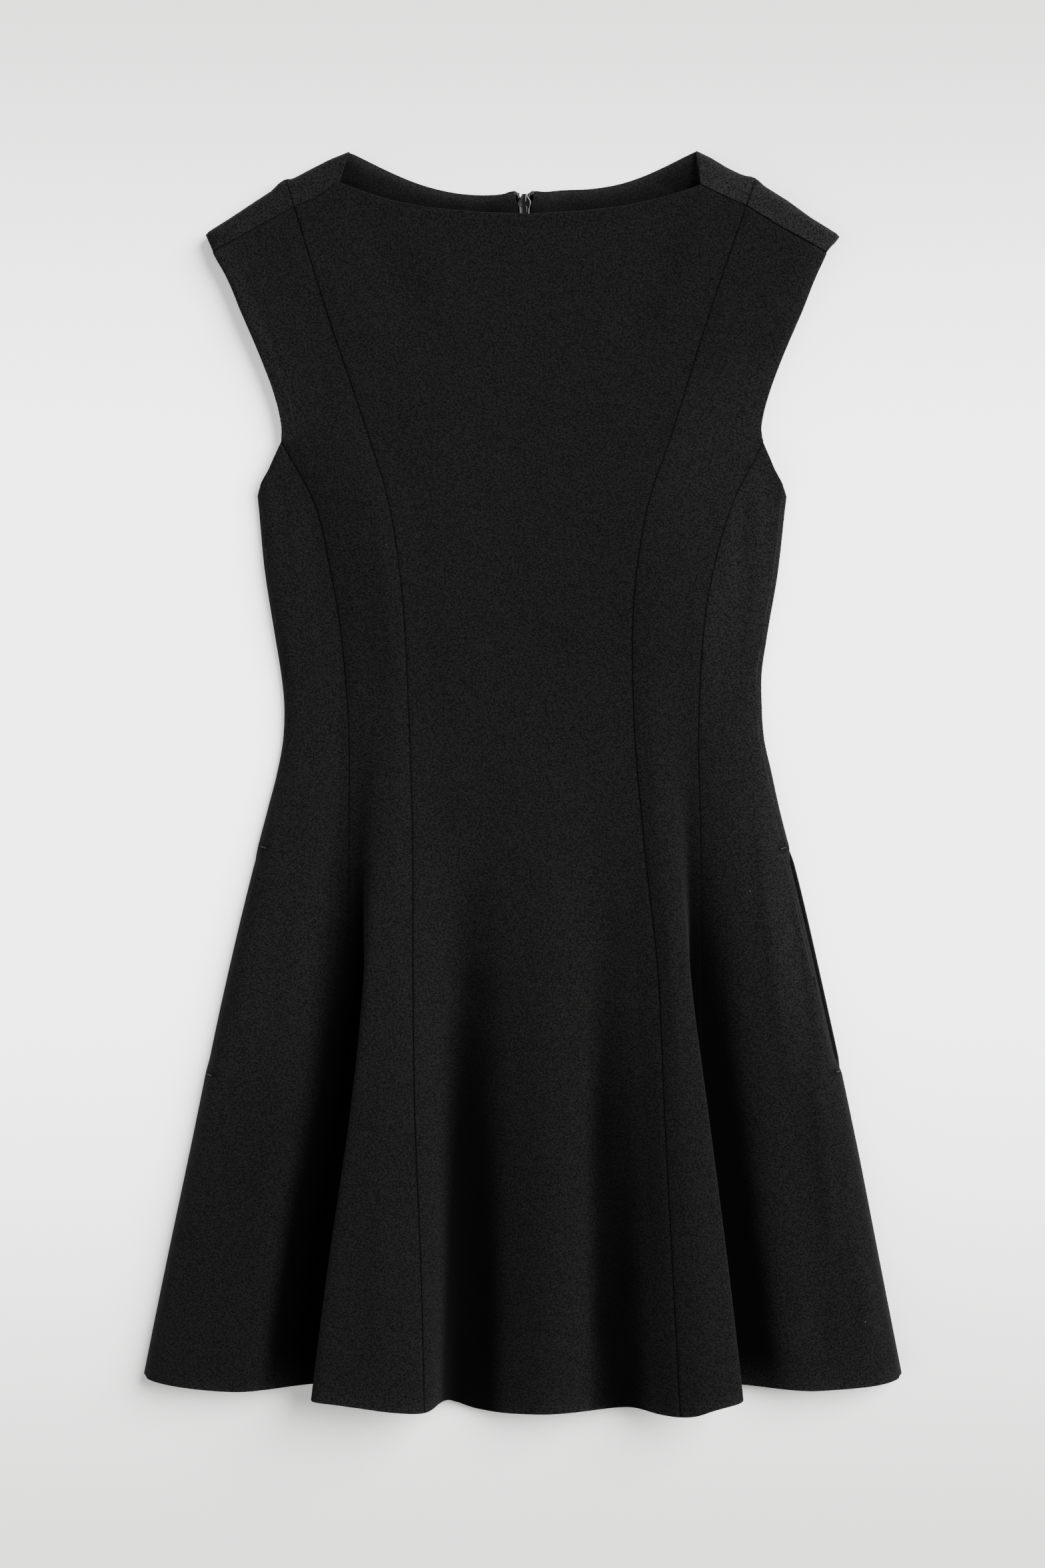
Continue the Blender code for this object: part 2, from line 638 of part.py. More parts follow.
def as_mesh(piece, name):
    """The curve's closed mesh, welded, in the curve's place; the curve is removed."""
    bpy.context.view_layer.update()
    graph = bpy.context.evaluated_depsgraph_get()
    mesh = bpy.data.meshes.new_from_object(piece.evaluated_get(graph))
    shape = bmesh.new()
    shape.from_mesh(mesh)
    bmesh.ops.remove_doubles(shape, verts=shape.verts, dist=0.00001)
    bmesh.ops.recalc_face_normals(shape, faces=shape.faces)
    shape.to_mesh(mesh)
    shape.free()
    made = bpy.data.objects.new(name, mesh)
    made.matrix_world = piece.matrix_world
    piece.users_collection[0].objects.link(made)
    bpy.data.objects.remove(piece)
    return made


def tapered_ring(stations):
    """A closed outline from (y, half width) stations, down one side and up the other."""
    right = [(half, y) for y, half in stations]
    left = [(-half, y) for y, half in reversed(stations) if half > 0]
    return right + left


def front():
    cloth("front_centre", front_grid(SEAM, LAST - SEAM), wool)
    cloth("front_side_left", front_grid(OUTER, SEAM), wool)
    cloth("front_side_right", front_grid(LAST - SEAM, LAST - OUTER), wool)
    cloth("side_panel_left", front_grid(SIDE, OUTER, chest=False), wool)
    cloth("side_panel_right", front_grid(LAST - OUTER, LAST, chest=False), wool)


def row_of_tape(row, stations, lift):
    """Points at set distances from the centre line along one row of the back, moved up."""
    order = np.argsort(np.abs(row[:, 0]))
    across = np.abs(row[order, 0])
    y, z = (np.interp(stations, across, row[order, k]) for k in (1, 2))
    return np.column_stack([np.sign(row[-1, 0]) * np.array(stations), y, z + lift])


def back(side, name):
    centre, keep, outer = back_panels(side)
    cloth("back_centre_" + name, centre, wool, keep=keep)
    cloth("back_side_" + name, outer, wool)

    # The tape lies on the back beside the zip, and the facing over the tape's outer half.
    flat_rows = BACK_BODY_ROWS + BACK_CHEST_ROWS
    rows = [row for row in centre[: flat_rows + ROLL_STEPS + 1] if row[0, 1] > ZIP_FOOT]
    lift = WALL / 2 + GAP + TAPE_WALL / 2
    tape = []
    for row in rows:
        inner = max(TAPE_INNER, abs(row[0, 0]) - TAPE_OVERHANG)
        stations = (inner, FACING_START, TAPE_WIDTH + 1)
        tape.append(row_of_tape(row, stations, lift))
    cloth("zip_tape_" + name, np.array(tape), coil_tape, wall=TAPE_WALL)

    neck = len((LEFT_BACK_NECK, RIGHT_BACK_NECK)[side]) - 1
    first = flat_rows - FACING_DEPTH_ROWS
    base = centre[first : flat_rows + ROLL_STEPS + 1, 1:neck]
    along, down = np.gradient(base, axis=1), np.gradient(base, axis=0)
    normal = np.cross(along, down) * (1 if side else -1)
    normal /= np.linalg.norm(normal, axis=-1)[..., None]
    step_start, step_width = FACING_STEP
    over_tape = 1 - ease((np.abs(base[..., 0]) - TAPE_WIDTH - step_start) / step_width)
    height = WALL / 2 + GAP + FACING_WALL / 2 + (TAPE_WALL + GAP) * over_tape
    cloth("neck_facing_" + name, base + normal * height[..., None], facing_wool, wall=FACING_WALL)

    # Top stop, a crimped bead on the end of the tape.
    bpy.ops.mesh.primitive_cube_add(size=1)
    stop = bpy.context.object
    stop.name = "zip_stop_" + name
    stop.data.transform(Matrix.Diagonal((*STOP, 1 / MM)) * MM)
    stop.rotation_euler = (0, 0, radians(STOP_TURN if side else -STOP_TURN))
    height = TAPE_TOP + GAP + STOP[2] / 2
    stop.location = Vector(((2 * side - 1) * STOP_X, SLIDER_TOP, height)) * MM
    stop.modifiers.new("edges", "BEVEL").width = STOP_EDGE * MM
    move_to(stop, dress)
    stop.data.materials.append(nickel)


def move_to(piece, where):
    for old in list(piece.users_collection):
        old.objects.unlink(piece)
    where.objects.link(piece)


def union(piece, other):
    other.hide_render = True
    other.display_type = "WIRE"
    joint = piece.modifiers.new("join", "BOOLEAN")
    joint.operation = "UNION"
    joint.object = other


def zip_slider():
    """The slider's inner plate with its rims and ridge, and the crown on the outer side."""
    y0, y1 = SLIDER_TOP, SLIDER_TOP - SLIDER_LENGTH
    full, waist = SLIDER_WIDTH / 2, SLIDER_WAIST / 2
    stations = [
        (y0, 0.0), (y0 - 0.3, 1.6), (y0 - 1.2, 2.9), (y0 - 3.0, 4.0), (y0 - 6.0, full - 0.3),
        (y0 - 11.0, full), (y0 - 14.0, full - 0.5), (y0 - 17.0, waist + 0.2), (y1, waist),
    ]
    ring = tapered_ring(stations)
    plate = outline_curve("plate", [ring], PLATE_THICKNESS / 2, dress)
    plate.location.z = (PLATE_BOTTOM + PLATE_THICKNESS / 2) * MM
    slider = as_mesh(plate, "zip_slider")
    slider.data.materials.append(nickel)
    top = PLATE_BOTTOM + PLATE_THICKNESS
    for sign in (-1, 1):
        path = [(sign * (half - 0.45), y, top) for y, half in stations[3:-1]]
        union(slider, as_mesh(wire_curve("rim", path, RIM_RADIUS, cutters), "rim"))
    ridge = [(0, y0 - RIDGE_START, top), (0, y0 - RIDGE_END, top)]
    union(slider, as_mesh(wire_curve("ridge", ridge, RIDGE_RADIUS, cutters), "ridge"))
    crown_end = PLATE_BOTTOM + PLATE_THICKNESS / 3
    path = [(0, HINGE_Y + CROWN_RADIUS, crown_end)]
    for k in range(9):
        turn = pi * k / 8
        y = HINGE_Y + CROWN_RADIUS * cos(turn)
        path.append((0, y, HINGE_Z - CROWN_RADIUS * sin(turn)))
    path.append((0, HINGE_Y - CROWN_RADIUS, crown_end))
    union(slider, as_mesh(wire_curve("crown", path, CROWN_WIRE, cutters), "crown"))


def zip_pull():
    """The drop-shaped tab. Its origin is on the bar that turns in the crown."""
    half_turn = [pi * k / 6 for k in range(7)]
    end = -TAB_LENGTH + TAB_END
    right = [(TAB_NECK, BAR - 0.4), (TAB_NECK, -4.0), (TAB_END, -12.0)]
    tip = [(TAB_END * cos(a), end - TAB_END * sin(a)) for a in half_turn]
    left = [(-x, y) for x, y in reversed(right)]
    top = [(-TAB_NECK + 0.4, BAR), (TAB_NECK - 0.4, BAR)]
    window = [
        (-WINDOW_HALF, -BAR), (WINDOW_HALF, -BAR),
        (WINDOW_HALF, -BAR - WINDOW_LENGTH), (-WINDOW_HALF, -BAR - WINDOW_LENGTH),
    ]
    flat = outline_curve("tab", [right + tip + left + top, window], TAB_THICKNESS / 2, dress)
    flat.location = (0, HINGE_Y * MM, HINGE_Z * MM)
    tab = as_mesh(flat, "zip_pull")
    tab.data.materials.append(nickel)


def pocket_bag(side, name):
    """A flat bag between the layers: its section runs in from the mouth, turns and comes out."""
    sign = 2 * side - 1
    bag_top, bag_foot = POCKET_TOP + POCKET_RISE, POCKET_FOOT - POCKET_REACH
    y = np.linspace(bag_top, bag_foot, 11)
    mouth = smooth(y, SIDE_OUTLINE)[..., side] - POCKET_INSET
    middle = (bag_top + bag_foot) / 2
    half = (bag_top - bag_foot) / 2 + POCKET_ROUND
    depth = POCKET_DEPTH * np.sqrt(1 - ((y - middle) / half) ** 2)
    low = WALL + GAP + BAG_WALL / 2
    turn_radius = BAG_WALL
    rows = []
    for place, out, deep in zip(y, mouth, depth):
        inner = out - deep
        turn = [(inner - turn_radius * cos(a), low + turn_radius - turn_radius * sin(a))
                for a in np.linspace(pi / 2, -pi / 2, 5)]
        path = [(out, low), ((out + inner) / 2, low), *turn,
                ((out + inner) / 2, low + 2 * turn_radius), (out, low + 2 * turn_radius)]
        rows.append([(sign * x, place, z) for x, z in path])
    cloth("pocket_bag_" + name, np.array(rows), pocketing, wall=BAG_WALL)


for old in list(bpy.data.objects):
    bpy.data.objects.remove(old)
dress = collection("flared_mini_dress")
cutters = collection("cutters")
wool = finish_of("black_wool", (0.013, 0.013, 0.014), 0.92)
facing_wool = finish_of("black_facing", (0.014, 0.014, 0.015), 0.9)
pocketing = finish_of("black_pocketing", (0.012, 0.012, 0.013), 0.85)
coil_tape = finish_of("black_zip_tape", (0.01, 0.01, 0.011), 0.75)
nickel = finish_of("dark_nickel", (0.16, 0.16, 0.165), 0.32, 1.0)

front()
back(0, "left")
back(1, "right")
zip_slider()
zip_pull()
pocket_bag(0, "left")
pocket_bag(1, "right")
for piece in (*dress.objects, *cutters.objects):
    piece.location -= Vector((*MIDDLE_OF_OUTLINE, 0)) * MM
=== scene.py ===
from math import pi, radians

import bpy
import numpy as np
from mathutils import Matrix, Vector


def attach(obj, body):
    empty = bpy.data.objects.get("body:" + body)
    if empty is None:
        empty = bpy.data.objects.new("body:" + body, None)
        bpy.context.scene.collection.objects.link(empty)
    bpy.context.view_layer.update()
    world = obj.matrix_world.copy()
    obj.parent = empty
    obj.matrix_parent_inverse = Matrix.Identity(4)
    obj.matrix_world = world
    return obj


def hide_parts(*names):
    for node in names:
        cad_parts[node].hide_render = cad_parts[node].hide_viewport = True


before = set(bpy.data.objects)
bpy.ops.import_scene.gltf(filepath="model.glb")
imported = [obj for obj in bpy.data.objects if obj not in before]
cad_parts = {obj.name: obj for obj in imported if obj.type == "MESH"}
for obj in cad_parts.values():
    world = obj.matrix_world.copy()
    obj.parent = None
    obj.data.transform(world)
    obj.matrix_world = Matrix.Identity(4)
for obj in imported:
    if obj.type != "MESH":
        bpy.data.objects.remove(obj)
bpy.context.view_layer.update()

mm = 0.001
shift = np.array([0.4, -4.0, 0.0])  # from the tables' centre line to the frame's origin, mm

# how the dress lies: lengths in mm, x across, y up the dress, left before right

# Fold lines of the front, numbered from the left side seam: 0 side, 1 round, 2 crest, 3 outer seam,
# 4 tuck, 5 overhanging fold, 6 ridge, 7 inner seam, 8 drape, 9 middle. 18 is the right side seam.
sideLine, outerLine, seamLine, drapeLine, lastLine = 0, 3, 7, 8, 18
# y, the distances from the centre line of outer seam, tuck, fold, ridge, inner seam and drape, and
# the heights above the table of round, crest, outer seam, tuck, fold, ridge, inner seam and drape
halves = (
    (
        (430, 246, 226, 207, 188, 169, 131.6, 7, 7.5, 12, 13.5, 13.5, 13.5, 13.5, 13.5),
        (330, 197.5, 182, 167, 152, 138, 106, 7, 7.5, 11, 14, 14, 13.5, 12.5, 13),
        (244, 172, 156, 140, 124, 109, 76, 8, 9.5, 10, 12.5, 13.5, 13.5, 12, 13.5),
        (205, 150.5, 137, 123, 109, 97, 66, 8, 10.5, 10.5, 13, 15, 15.5, 14, 14.5),
        (150, 136.5, 124, 112, 99, 88, 57, 8.5, 12, 11.5, 14, 16, 17, 15.5, 15),
        (56, 125, 115, 104, 92, 82, 46, 7.5, 11, 9.5, 10.5, 12, 13, 11.5, 11.5),
        (-40, 124, 115, 107, 94, 79, 34, 9, 14, 8.5, 9, 15, 17, 14, 10.5),
        (-130, 124, 113, 111, 99, 78.5, 38, 10, 14.5, 7.5, 8.5, 22, 24, 21, 9),
        (-230, 124, 108, 121, 106, 77, 43, 10.5, 17, 7, 9, 28.5, 31.5, 28, 8.5),
        (-340, 126, 109, 136.5, 116, 72.5, 45, 11, 19, 7.5, 10, 34, 37.5, 33.5, 8),
        (-445, 132, 118, 149.8, 124, 70, 50, 11, 20.5, 8.5, 11, 37.5, 41.5, 37, 8),
    ),
    (
        (430, 243, 224, 205, 186, 164.5, 126.6, 7, 7.5, 12, 13.5, 13.5, 13.5, 13.5, 13.5),
        (330, 194.5, 178, 163, 147, 130.5, 106, 7, 7.5, 11, 14, 14, 13.5, 12.5, 13),
        (244, 170.4, 155, 140, 122, 103.5, 82, 7.5, 9, 10, 12.5, 13.5, 13.5, 12, 13),
        (205, 150.5, 138, 125, 108, 90, 72, 6.5, 9.5, 11, 13, 15, 15.5, 14, 14),
        (150, 134, 122, 110, 95, 80, 60, 6.5, 10.2, 12, 14, 16, 17, 15.5, 14.5),
        (56, 124.6, 114, 103, 91, 78, 52, 6, 9, 9.8, 10.5, 12, 13, 11.5, 12),
        (-40, 125.7, 117, 108, 97, 85.5, 62, 8, 12.5, 9.5, 9.5, 15.5, 18, 15, 12.5),
        (-130, 126, 118, 116, 106, 95, 72, 8.5, 14, 7.5, 8.5, 22, 25, 21.5, 14.5),
        (-230, 128, 114, 129, 114, 99.5, 74, 9.5, 16.5, 7, 9, 28, 32, 28, 16.2),
        (-340, 132, 119, 143, 124, 105, 74, 10.5, 19, 7.5, 10, 33, 38, 33, 16),
        (-445, 140, 130, 155, 133, 110.5, 76, 11, 21, 8.5, 11, 36, 41, 35.5, 15.5),
    ),
)
middleLine = (
    (430, -2, 14), (330, 0, 13), (244, 0, 13), (205, 0, 13.5), (150, 0, 13.5), (56, 1, 12), (-40, 12, 14),
    (-130, 19, 17), (-230, 20, 20), (-340, 20, 24), (-445, 20, 26),
)  # y, x, height
# y, then the distance from the centre line on the left and on the right
sideOutline = (
    (244, 194, 192), (205.6, 189, 187.1), (151, 183.7, 180.9), (103, 176.1, 172.8), (79, 172.3, 169.5),
    (56, 170, 169.5), (32, 170.9, 171.4), (8, 175.2, 176.6), (-16, 181.4, 181.8), (-63, 193.7, 194.2),
    (-158, 216.1, 216.1), (-253, 235.6, 236.5), (-348, 255.5, 255.1), (-445, 275, 274),
)
armholeOutline = (
    (380, 221.3, 216), (357.8, 208.9, 205.6), (338.7, 200.9, 198), (300.7, 185.6, 182.8),
    (281.7, 178.5, 175.7), (262.7, 173.3, 170.4), (253.2, 171.9, 169), (244.2, 172.1, 170),
)
backSeam = (
    (424, 166.7, 163), (330, 142, 140), (244, 114, 112), (205.6, 103, 101), (150, 93, 91), (56, 84, 84),
    (-40, 90, 90), (-150, 103, 103), (-300, 119, 119), (-445, 134, 134),
)
underarm = (
    (
        (-189, 205.6), (-186.1, 215.1), (-180.9, 224.6), (-172.1, 244.2),
    ),
    (
        (170, 244.2), (178.5, 224.6), (183.7, 215.1), (187.1, 205.6),
    ),
)  # x, y of the outline below the armholes
# x, y of the forward shoulder seams and of the front neck edge between them
frontTop = (
    (-220.5, 377.9), (-191.4, 393.8), (-161.9, 410.2), (-149.2, 415.4), (-131, 427.4), (-112.1, 420.7),
    (-95.3, 415), (-69.2, 409.8), (-31.9, 406.3), (1.9, 405.1), (42.9, 407.2), (70.9, 410.8),
    (95.2, 415.9), (114, 421.6), (126, 425.7), (144, 416.8), (157.5, 411), (182, 395.8), (215.6, 377.3),
)
# fold line, y of the hem
hemRows = (
    (0, -419.5), (1, -421.5), (2, -429.2), (3, -424.5), (4, -427), (5, -432.5), (5.5, -433.8),
    (6, -435.5), (6.6, -439.5), (7, -440.8), (7.25, -439.5), (7.5, -437), (8, -438), (8.25, -443),
    (8.5, -445), (8.75, -444.6), (9, -443.8), (9.5, -442.5), (10, -440.8), (10.6, -443.6), (11, -444),
    (11.5, -442.6), (12, -438.8), (13, -433), (14, -428), (15, -425.5), (16, -428.4), (16.5, -425.6),
    (17, -421.5), (18, -419.5),
)
# x, y of the outline where the back rolls forward over the shoulder
rolls = (
    (
        (-226.1, 391.2), (-208.6, 401.9), (-192.6, 412.6), (-178.5, 421.8), (-173, 427.6), (-168.8, 430),
        (-164, 430), (-152.3, 436.3), (-137.4, 443.9), (-123.7, 449.4),
    ),
    (
        (122.4, 450.1), (132.2, 445.5), (144.9, 437.8), (156, 432.6), (161.5, 431.8), (165.2, 430.4),
        (171, 425), (187.4, 414.7), (204.3, 402.3), (225, 389.8),
    ),
)
backCorner = (-168.8, 165.2)
# distance from the centre line, y of the back neck edge
backNeck = (
    (
        (2.8, 421.2), (7.5, 422.6), (14, 420.9), (26, 420.4), (50.8, 422.3), (69.6, 426.8), (97.7, 437.8),
        (123.2, 449.4),
    ),
    (
        (2.8, 420.8), (7.5, 422.6), (14, 422.4), (26, 423.8), (50.8, 425.2), (69.6, 428.6), (97.7, 438.9),
        (122, 450.1),
    ),
)
# x at the hem, x and y where it ends, rise at the hem, half width at the hem
backFolds = (
    (-97, -90, -215, 4, 26), (-208, -190, -262, 3, 24), (103, 96, -225, 3.5, 25), (207, 190, -262, 4, 25),
)
zipSpread = ((388, 0.15), (398, 0.7), (414, 1.2), (421, 2.8))  # y, distance from the centre line
# Soft creases of the front: x and y of both ends, bow, depth (troughs are negative), half width.
creases = (
    (-121, 420, -62, 286, 5, -1.5, 17), (-96, 424, -40, 318, 4, 0.6, 15),
    (120, 414, 72, 292, -5, -1.9, 15), (136, 414, 96, 300, -4, 1.2, 13),
    (-149, 356, -146, 226, 3, -1.1, 13), (-62, 330, -30, 200, 4, -0.5, 26),
    (40, 352, 24, 190, -3, 0.4, 28), (150, 340, 128, 236, 4, 0.7, 15), (167, 232, 162, 96, 1.5, 0.9, 6),
    (157, 226, 153, 118, 1, -0.7, 5), (148, 208, 145, 120, 0.5, 0.4, 5),
    (-164, 218, -160, 110, -1, 0.5, 8), (-150, 196, -148, 96, -1, -0.4, 7),
    (-100, 214, -92, 40, 2, 0.5, 10), (-58, 96, 52, 92, 5, -0.35, 13), (-118, 40, -104, -70, -2, -0.8, 8),
    (104, -6, 109, -120, 2, 0.9, 7), (-147, -215, -191, -560, 0, -5, 15),
    (53, -90, 50, -560, 0, -2.6, 11), (162, 0, 190, -235, 0, 2.2, 7), (184, -10, 211, -235, 0, -2.6, 8.5),
    (206, -180, 219, -340, 0, 1.5, 6), (-217, -180, -226, -245, 0, 1.2, 3.5),
    (236, -330, 244, -402, 1.5, 1.1, 6), (205, -352, 214, -420, 1, -0.8, 8),
    (186, -380, 190, -408, 0, 0.9, 7), (-182, -372, -178, -404, 0, -0.9, 7),
    (-205, -340, -214, -424, -1.5, 0.7, 9), (-236, -300, -246, -400, -2, -0.5, 9),
    (-100, -250, -103, -430, 1, 0.6, 9), (56, -352, 62, -440, 1, -0.7, 8),
    (92, -360, 95, -444, -1, 0.5, 7), (-8, -380, -10, -440, 1, 0.6, 10),
)

cloth = {
    "wall": 1.8,  # one layer of felted wool
    "gap": 0.3,
    "knee": 244.2,  # where the outer seam reaches the armhole
    "roundInset": 3.4,
    "crestShare": 0.47,
    "rollDepth": 6.0,
    "neckRiseReach": 36.0,
    "neckSlope": 20.0,  # longer slope of the back up to the neck's corner
    "cornerReach": 22.0,
    "backHemSide": -416.5,
    "backHemMiddle": -433.0,
    "zipLift": 3.6,  # the back and the zip rise over the pull's tab
    "zipSide": (8.0, 22.0),  # whole as far as this from the centre line, gone within the second length
    "zipFrom": (331.0, 42.0),  # from this y up, over the second length
    "creaseEnds": 0.35,  # share of its length over which a crease eases in
}


def hermite(t, span, start, end, startSlope, endSlope):
    # the cubic with these values and slopes at t = 0 and t = 1 of a span
    return (
        (2 * t**3 - 3 * t**2 + 1) * start
        + (t**3 - 2 * t**2 + t) * span * startSlope
        + (3 * t**2 - 2 * t**3) * end
        + (t**3 - t**2) * span * endSlope
    )


def slopesAt(values, spans):
    # each point's slope is the mean of its two neighbours' rises, weighted by the spans
    rises = np.diff(values, axis=-2) / spans
    before, after = spans[..., :-1, :], spans[..., 1:, :]
    inner = (rises[..., :-1, :] * after + rises[..., 1:, :] * before) / (before + after)
    return np.concatenate([rises[..., :1, :], inner, rises[..., -1:, :]], -2)


def smooth(at, rows):
    # cubic curves through a table's rows, which meet with one slope
    rows = np.array(sorted(rows), float)
    where, values = rows[:, 0], rows[:, 1:]
    steps = np.diff(where)[:, None]
    slopes = slopesAt(values, steps)
    at = np.clip(np.asarray(at, float), where[0], where[-1])
    i = np.clip(np.searchsorted(where, at) - 1, 0, len(where) - 2)
    t = ((at - where[i]) / steps[i][..., 0])[..., None]
    return hermite(t, steps[i], values[i], values[i + 1], slopes[i], slopes[i + 1])


def polyline(at, points):
    # straight lines through the points
    points = np.array(sorted(points), float)
    return np.interp(at, points[:, 0], points[:, 1])


def ease(t):
    # 3t^2 - 2t^3, held at 0 and 1 outside
    t = np.clip(t, 0, 1)
    return t * t * (3 - 2 * t)


def bell(distance, width):
    # exp(-(distance / width)^2): 1 at a line, fading over the width
    return np.exp(-((distance / width) ** 2))


def halfOfFront(y, side):
    # x and z of one half's nine fold lines at each y
    row = smooth(y, halves[side])
    edge = smooth(y, sideOutline)[..., side]
    outer = np.where(y > cloth["knee"], smooth(y, armholeOutline)[..., side], row[..., 0])
    crest = edge + cloth["crestShare"] * (outer - edge)
    x = np.stack([edge, edge - cloth["roundInset"], crest, outer, *np.moveaxis(row[..., 1:6], -1, 0)], -1)
    sideLevel = np.full(y.shape + (1,), cloth["wall"] * 1.5 + cloth["gap"])
    return np.stack([x * (2 * side - 1), np.concatenate([sideLevel, row[..., 6:]], -1)], -1)


def frontLines(y):
    # all nineteen fold lines, left to right
    middle = smooth(y, middleLine)[..., None, :]
    return np.concatenate([halfOfFront(y, 0), middle, halfOfFront(y, 1)[..., ::-1, :]], -2)


def frontAt(line, y):
    # Point of the front at a fractional fold line and a y: the section at y is a cubic curve
    # through the nineteen fold lines, spaced by their distances.
    points = frontLines(y)
    spans = np.linalg.norm(np.diff(points, axis=-2), axis=-1)[..., None]
    slopes = slopesAt(points, spans)
    i = np.clip(np.floor(line).astype(int), 0, lastLine - 1)

    def take(values, step=0):
        return np.take_along_axis(values, i[..., None, None] + step, -2)[..., 0, :]

    t = (line - i)[..., None]
    xz = hermite(t, take(spans), take(points), take(points, 1), take(slopes), take(slopes, 1))
    return np.stack([xz[..., 0], y, xz[..., 1]], -1)


# y of the shoulder seam or neck edge, and of the underarm, found by halving the error on each line
lineTable = np.linspace(0, lastLine, lastLine * 40 + 1)
topTable = np.full(lineTable.shape, 400.0)
underarmTable = np.full(lineTable.shape, 220.0)
for turn in range(40):
    topTable += 0.5 * (polyline(frontAt(lineTable, topTable)[:, 0], frontTop) - topTable)
    x = frontAt(lineTable, underarmTable)[:, 0]
    reach = np.where(x < 0, polyline(x, underarm[0]), polyline(x, underarm[1]))
    underarmTable += 0.5 * (reach - underarmTable)
hemTable = smooth(lineTable, hemRows)[:, 0]


def topOfFront(line):
    # y of the top on each line, kept to the shoulder seams
    return np.interp(np.clip(line, outerLine + 0.03, lastLine - outerLine - 0.03), lineTable, topTable)


# grids and meshes

edgeSteps = (0.0, 0.12, 0.35, 0.75, 1.3, 2.0, 3.0, 4.4, 6.2)  # columns and rows close to a rim


def spacing(length, step, start=True, end=True):
    # shares 0..1 along a length: the edge steps at the marked ends, even steps between
    low = np.array(edgeSteps if start else (0.0,))
    high = length - np.array(edgeSteps if end else (0.0,))[::-1]
    count = max(2, int(round((high[0] - low[-1]) / step)))
    between = np.linspace(low[-1], high[0], count + 1)[1:-1]
    return np.concatenate([low, between, high]) / length


def arcs(points, axis):
    # distance run along the grid's rows (axis 1) or columns (axis 0)
    steps = np.linalg.norm(np.diff(points, axis=axis), axis=-1)
    pad = [(0, 0), (0, 0)]
    pad[axis] = (1, 0)
    return np.pad(np.cumsum(steps, axis=axis), pad)


def rims(points):
    # how far each point of a grid is from its left, right, foot and top rims
    across, up = arcs(points, 1), arcs(points, 0)
    return across, across[:, -1:] - across, up, up[-1:] - up


def normals(points):
    # unit cross product of the steps across and up
    n = np.cross(np.gradient(points, axis=1), np.gradient(points, axis=0))
    return n / np.maximum(np.linalg.norm(n, axis=-1), 1e-9)[..., None]


def shiftedOut(points, height, sign):
    # the grid moved along its normals
    return points + normals(points) * sign * height[..., None]


def meshObject(name, points, faces, uv=None):
    # points in mm in the tables' frame, faces as an index array; uv per point in metres
    mesh = bpy.data.meshes.new(name)
    mesh.vertices.add(len(points))
    mesh.vertices.foreach_set("co", ((points + shift) * mm).astype(np.float32).ravel())
    mesh.loops.add(faces.size)
    mesh.loops.foreach_set("vertex_index", faces.astype(np.int32).ravel())
    mesh.polygons.add(len(faces))
    mesh.polygons.foreach_set("loop_start", np.arange(0, faces.size, faces.shape[1], dtype=np.int32))
    mesh.update(calc_edges=True)
    if uv is not None:
        layer = mesh.uv_layers.new(name="grain")
        layer.data.foreach_set("uv", uv[faces.ravel()].astype(np.float32).ravel())
    mesh.shade_smooth()
    piece = bpy.data.objects.new(name, mesh)
    bpy.context.scene.collection.objects.link(piece)
    return piece


def numbered(rows, columns):
    # the point numbers of a grid
    return np.arange(rows * columns).reshape(rows, columns)


def quadsOf(number, keep=None):
    # the quads of a grid of point numbers
    q = np.stack([number[:-1, :-1], number[:-1, 1:], number[1:, 1:], number[1:, :-1]], -1)
    return q.reshape(-1, 4) if keep is None else q[keep]


def painted(piece, shades):
    # one number per point for each named shade, which the finishes read
    for name, values in shades.items():
        layer = piece.data.attributes.new(name, "FLOAT", "POINT")
        layer.data.foreach_set("value", values.astype(np.float32).ravel())
    return piece


def closedShell(name, middle, wall, shades):
    # Two skins half a wall either side of the middle grid, meeting in a rounded rim: half the
    # wall is wall/2 * sqrt(1 - (1 - e)^2), with e the distance from the rim over wall/2, up to 1.
    rim = rims(middle)
    e = np.clip(np.min(rim, axis=0) / (wall / 2), 0, 1)
    half = normals(middle) * (wall / 2 * np.sqrt(1 - (1 - e) ** 2))[..., None]
    rows, columns = e.shape
    top = numbered(rows, columns)
    under = top.copy()
    under[1:-1, 1:-1] = rows * columns + numbered(rows - 2, columns - 2)

    def both(upper, lower):
        # all of the upper skin, and of the lower one what lies inside the rim
        shape = (-1,) + upper.shape[2:]
        return np.concatenate([upper.reshape(shape), lower[1:-1, 1:-1].reshape(shape)])

    grain = np.stack([rim[0], rim[2]], -1) * mm
    faces = np.concatenate([quadsOf(top), quadsOf(under)[:, ::-1]])
    piece = meshObject(name, both(middle + half, middle - half), faces, both(grain, grain))
    return painted(piece, {shade: both(values, values) for shade, values in shades.items()})


def openGrid(name, points, keep=None, flip=False, shades=None):
    # one skin over a grid, or over the quads of it that are kept
    faces = quadsOf(numbered(*points.shape[:2]), keep)
    if flip:
        faces = faces[:, ::-1]
    used = np.unique(faces)
    number = np.zeros(faces.max() + 1, int)
    number[used] = np.arange(len(used))
    uv = np.stack([arcs(points, 1), arcs(points, 0)], -1).reshape(-1, 2)[used] * mm
    piece = meshObject(name, points.reshape(-1, 3)[used], number[faces], uv)
    return painted(piece, {shade: values.ravel()[used] for shade, values in (shades or {}).items()})


def walled(piece, wall):
    # a wall about the skin, and its rims rounded
    layer = piece.modifiers.new("wall", "SOLIDIFY")
    layer.thickness, layer.offset = wall * mm, 0
    rim = piece.modifiers.new("rims", "BEVEL")
    rim.width, rim.segments, rim.limit_method, rim.angle_limit = wall * 0.32 * mm, 2, "ANGLE", radians(60)
    rim.harden_normals = False
    return piece


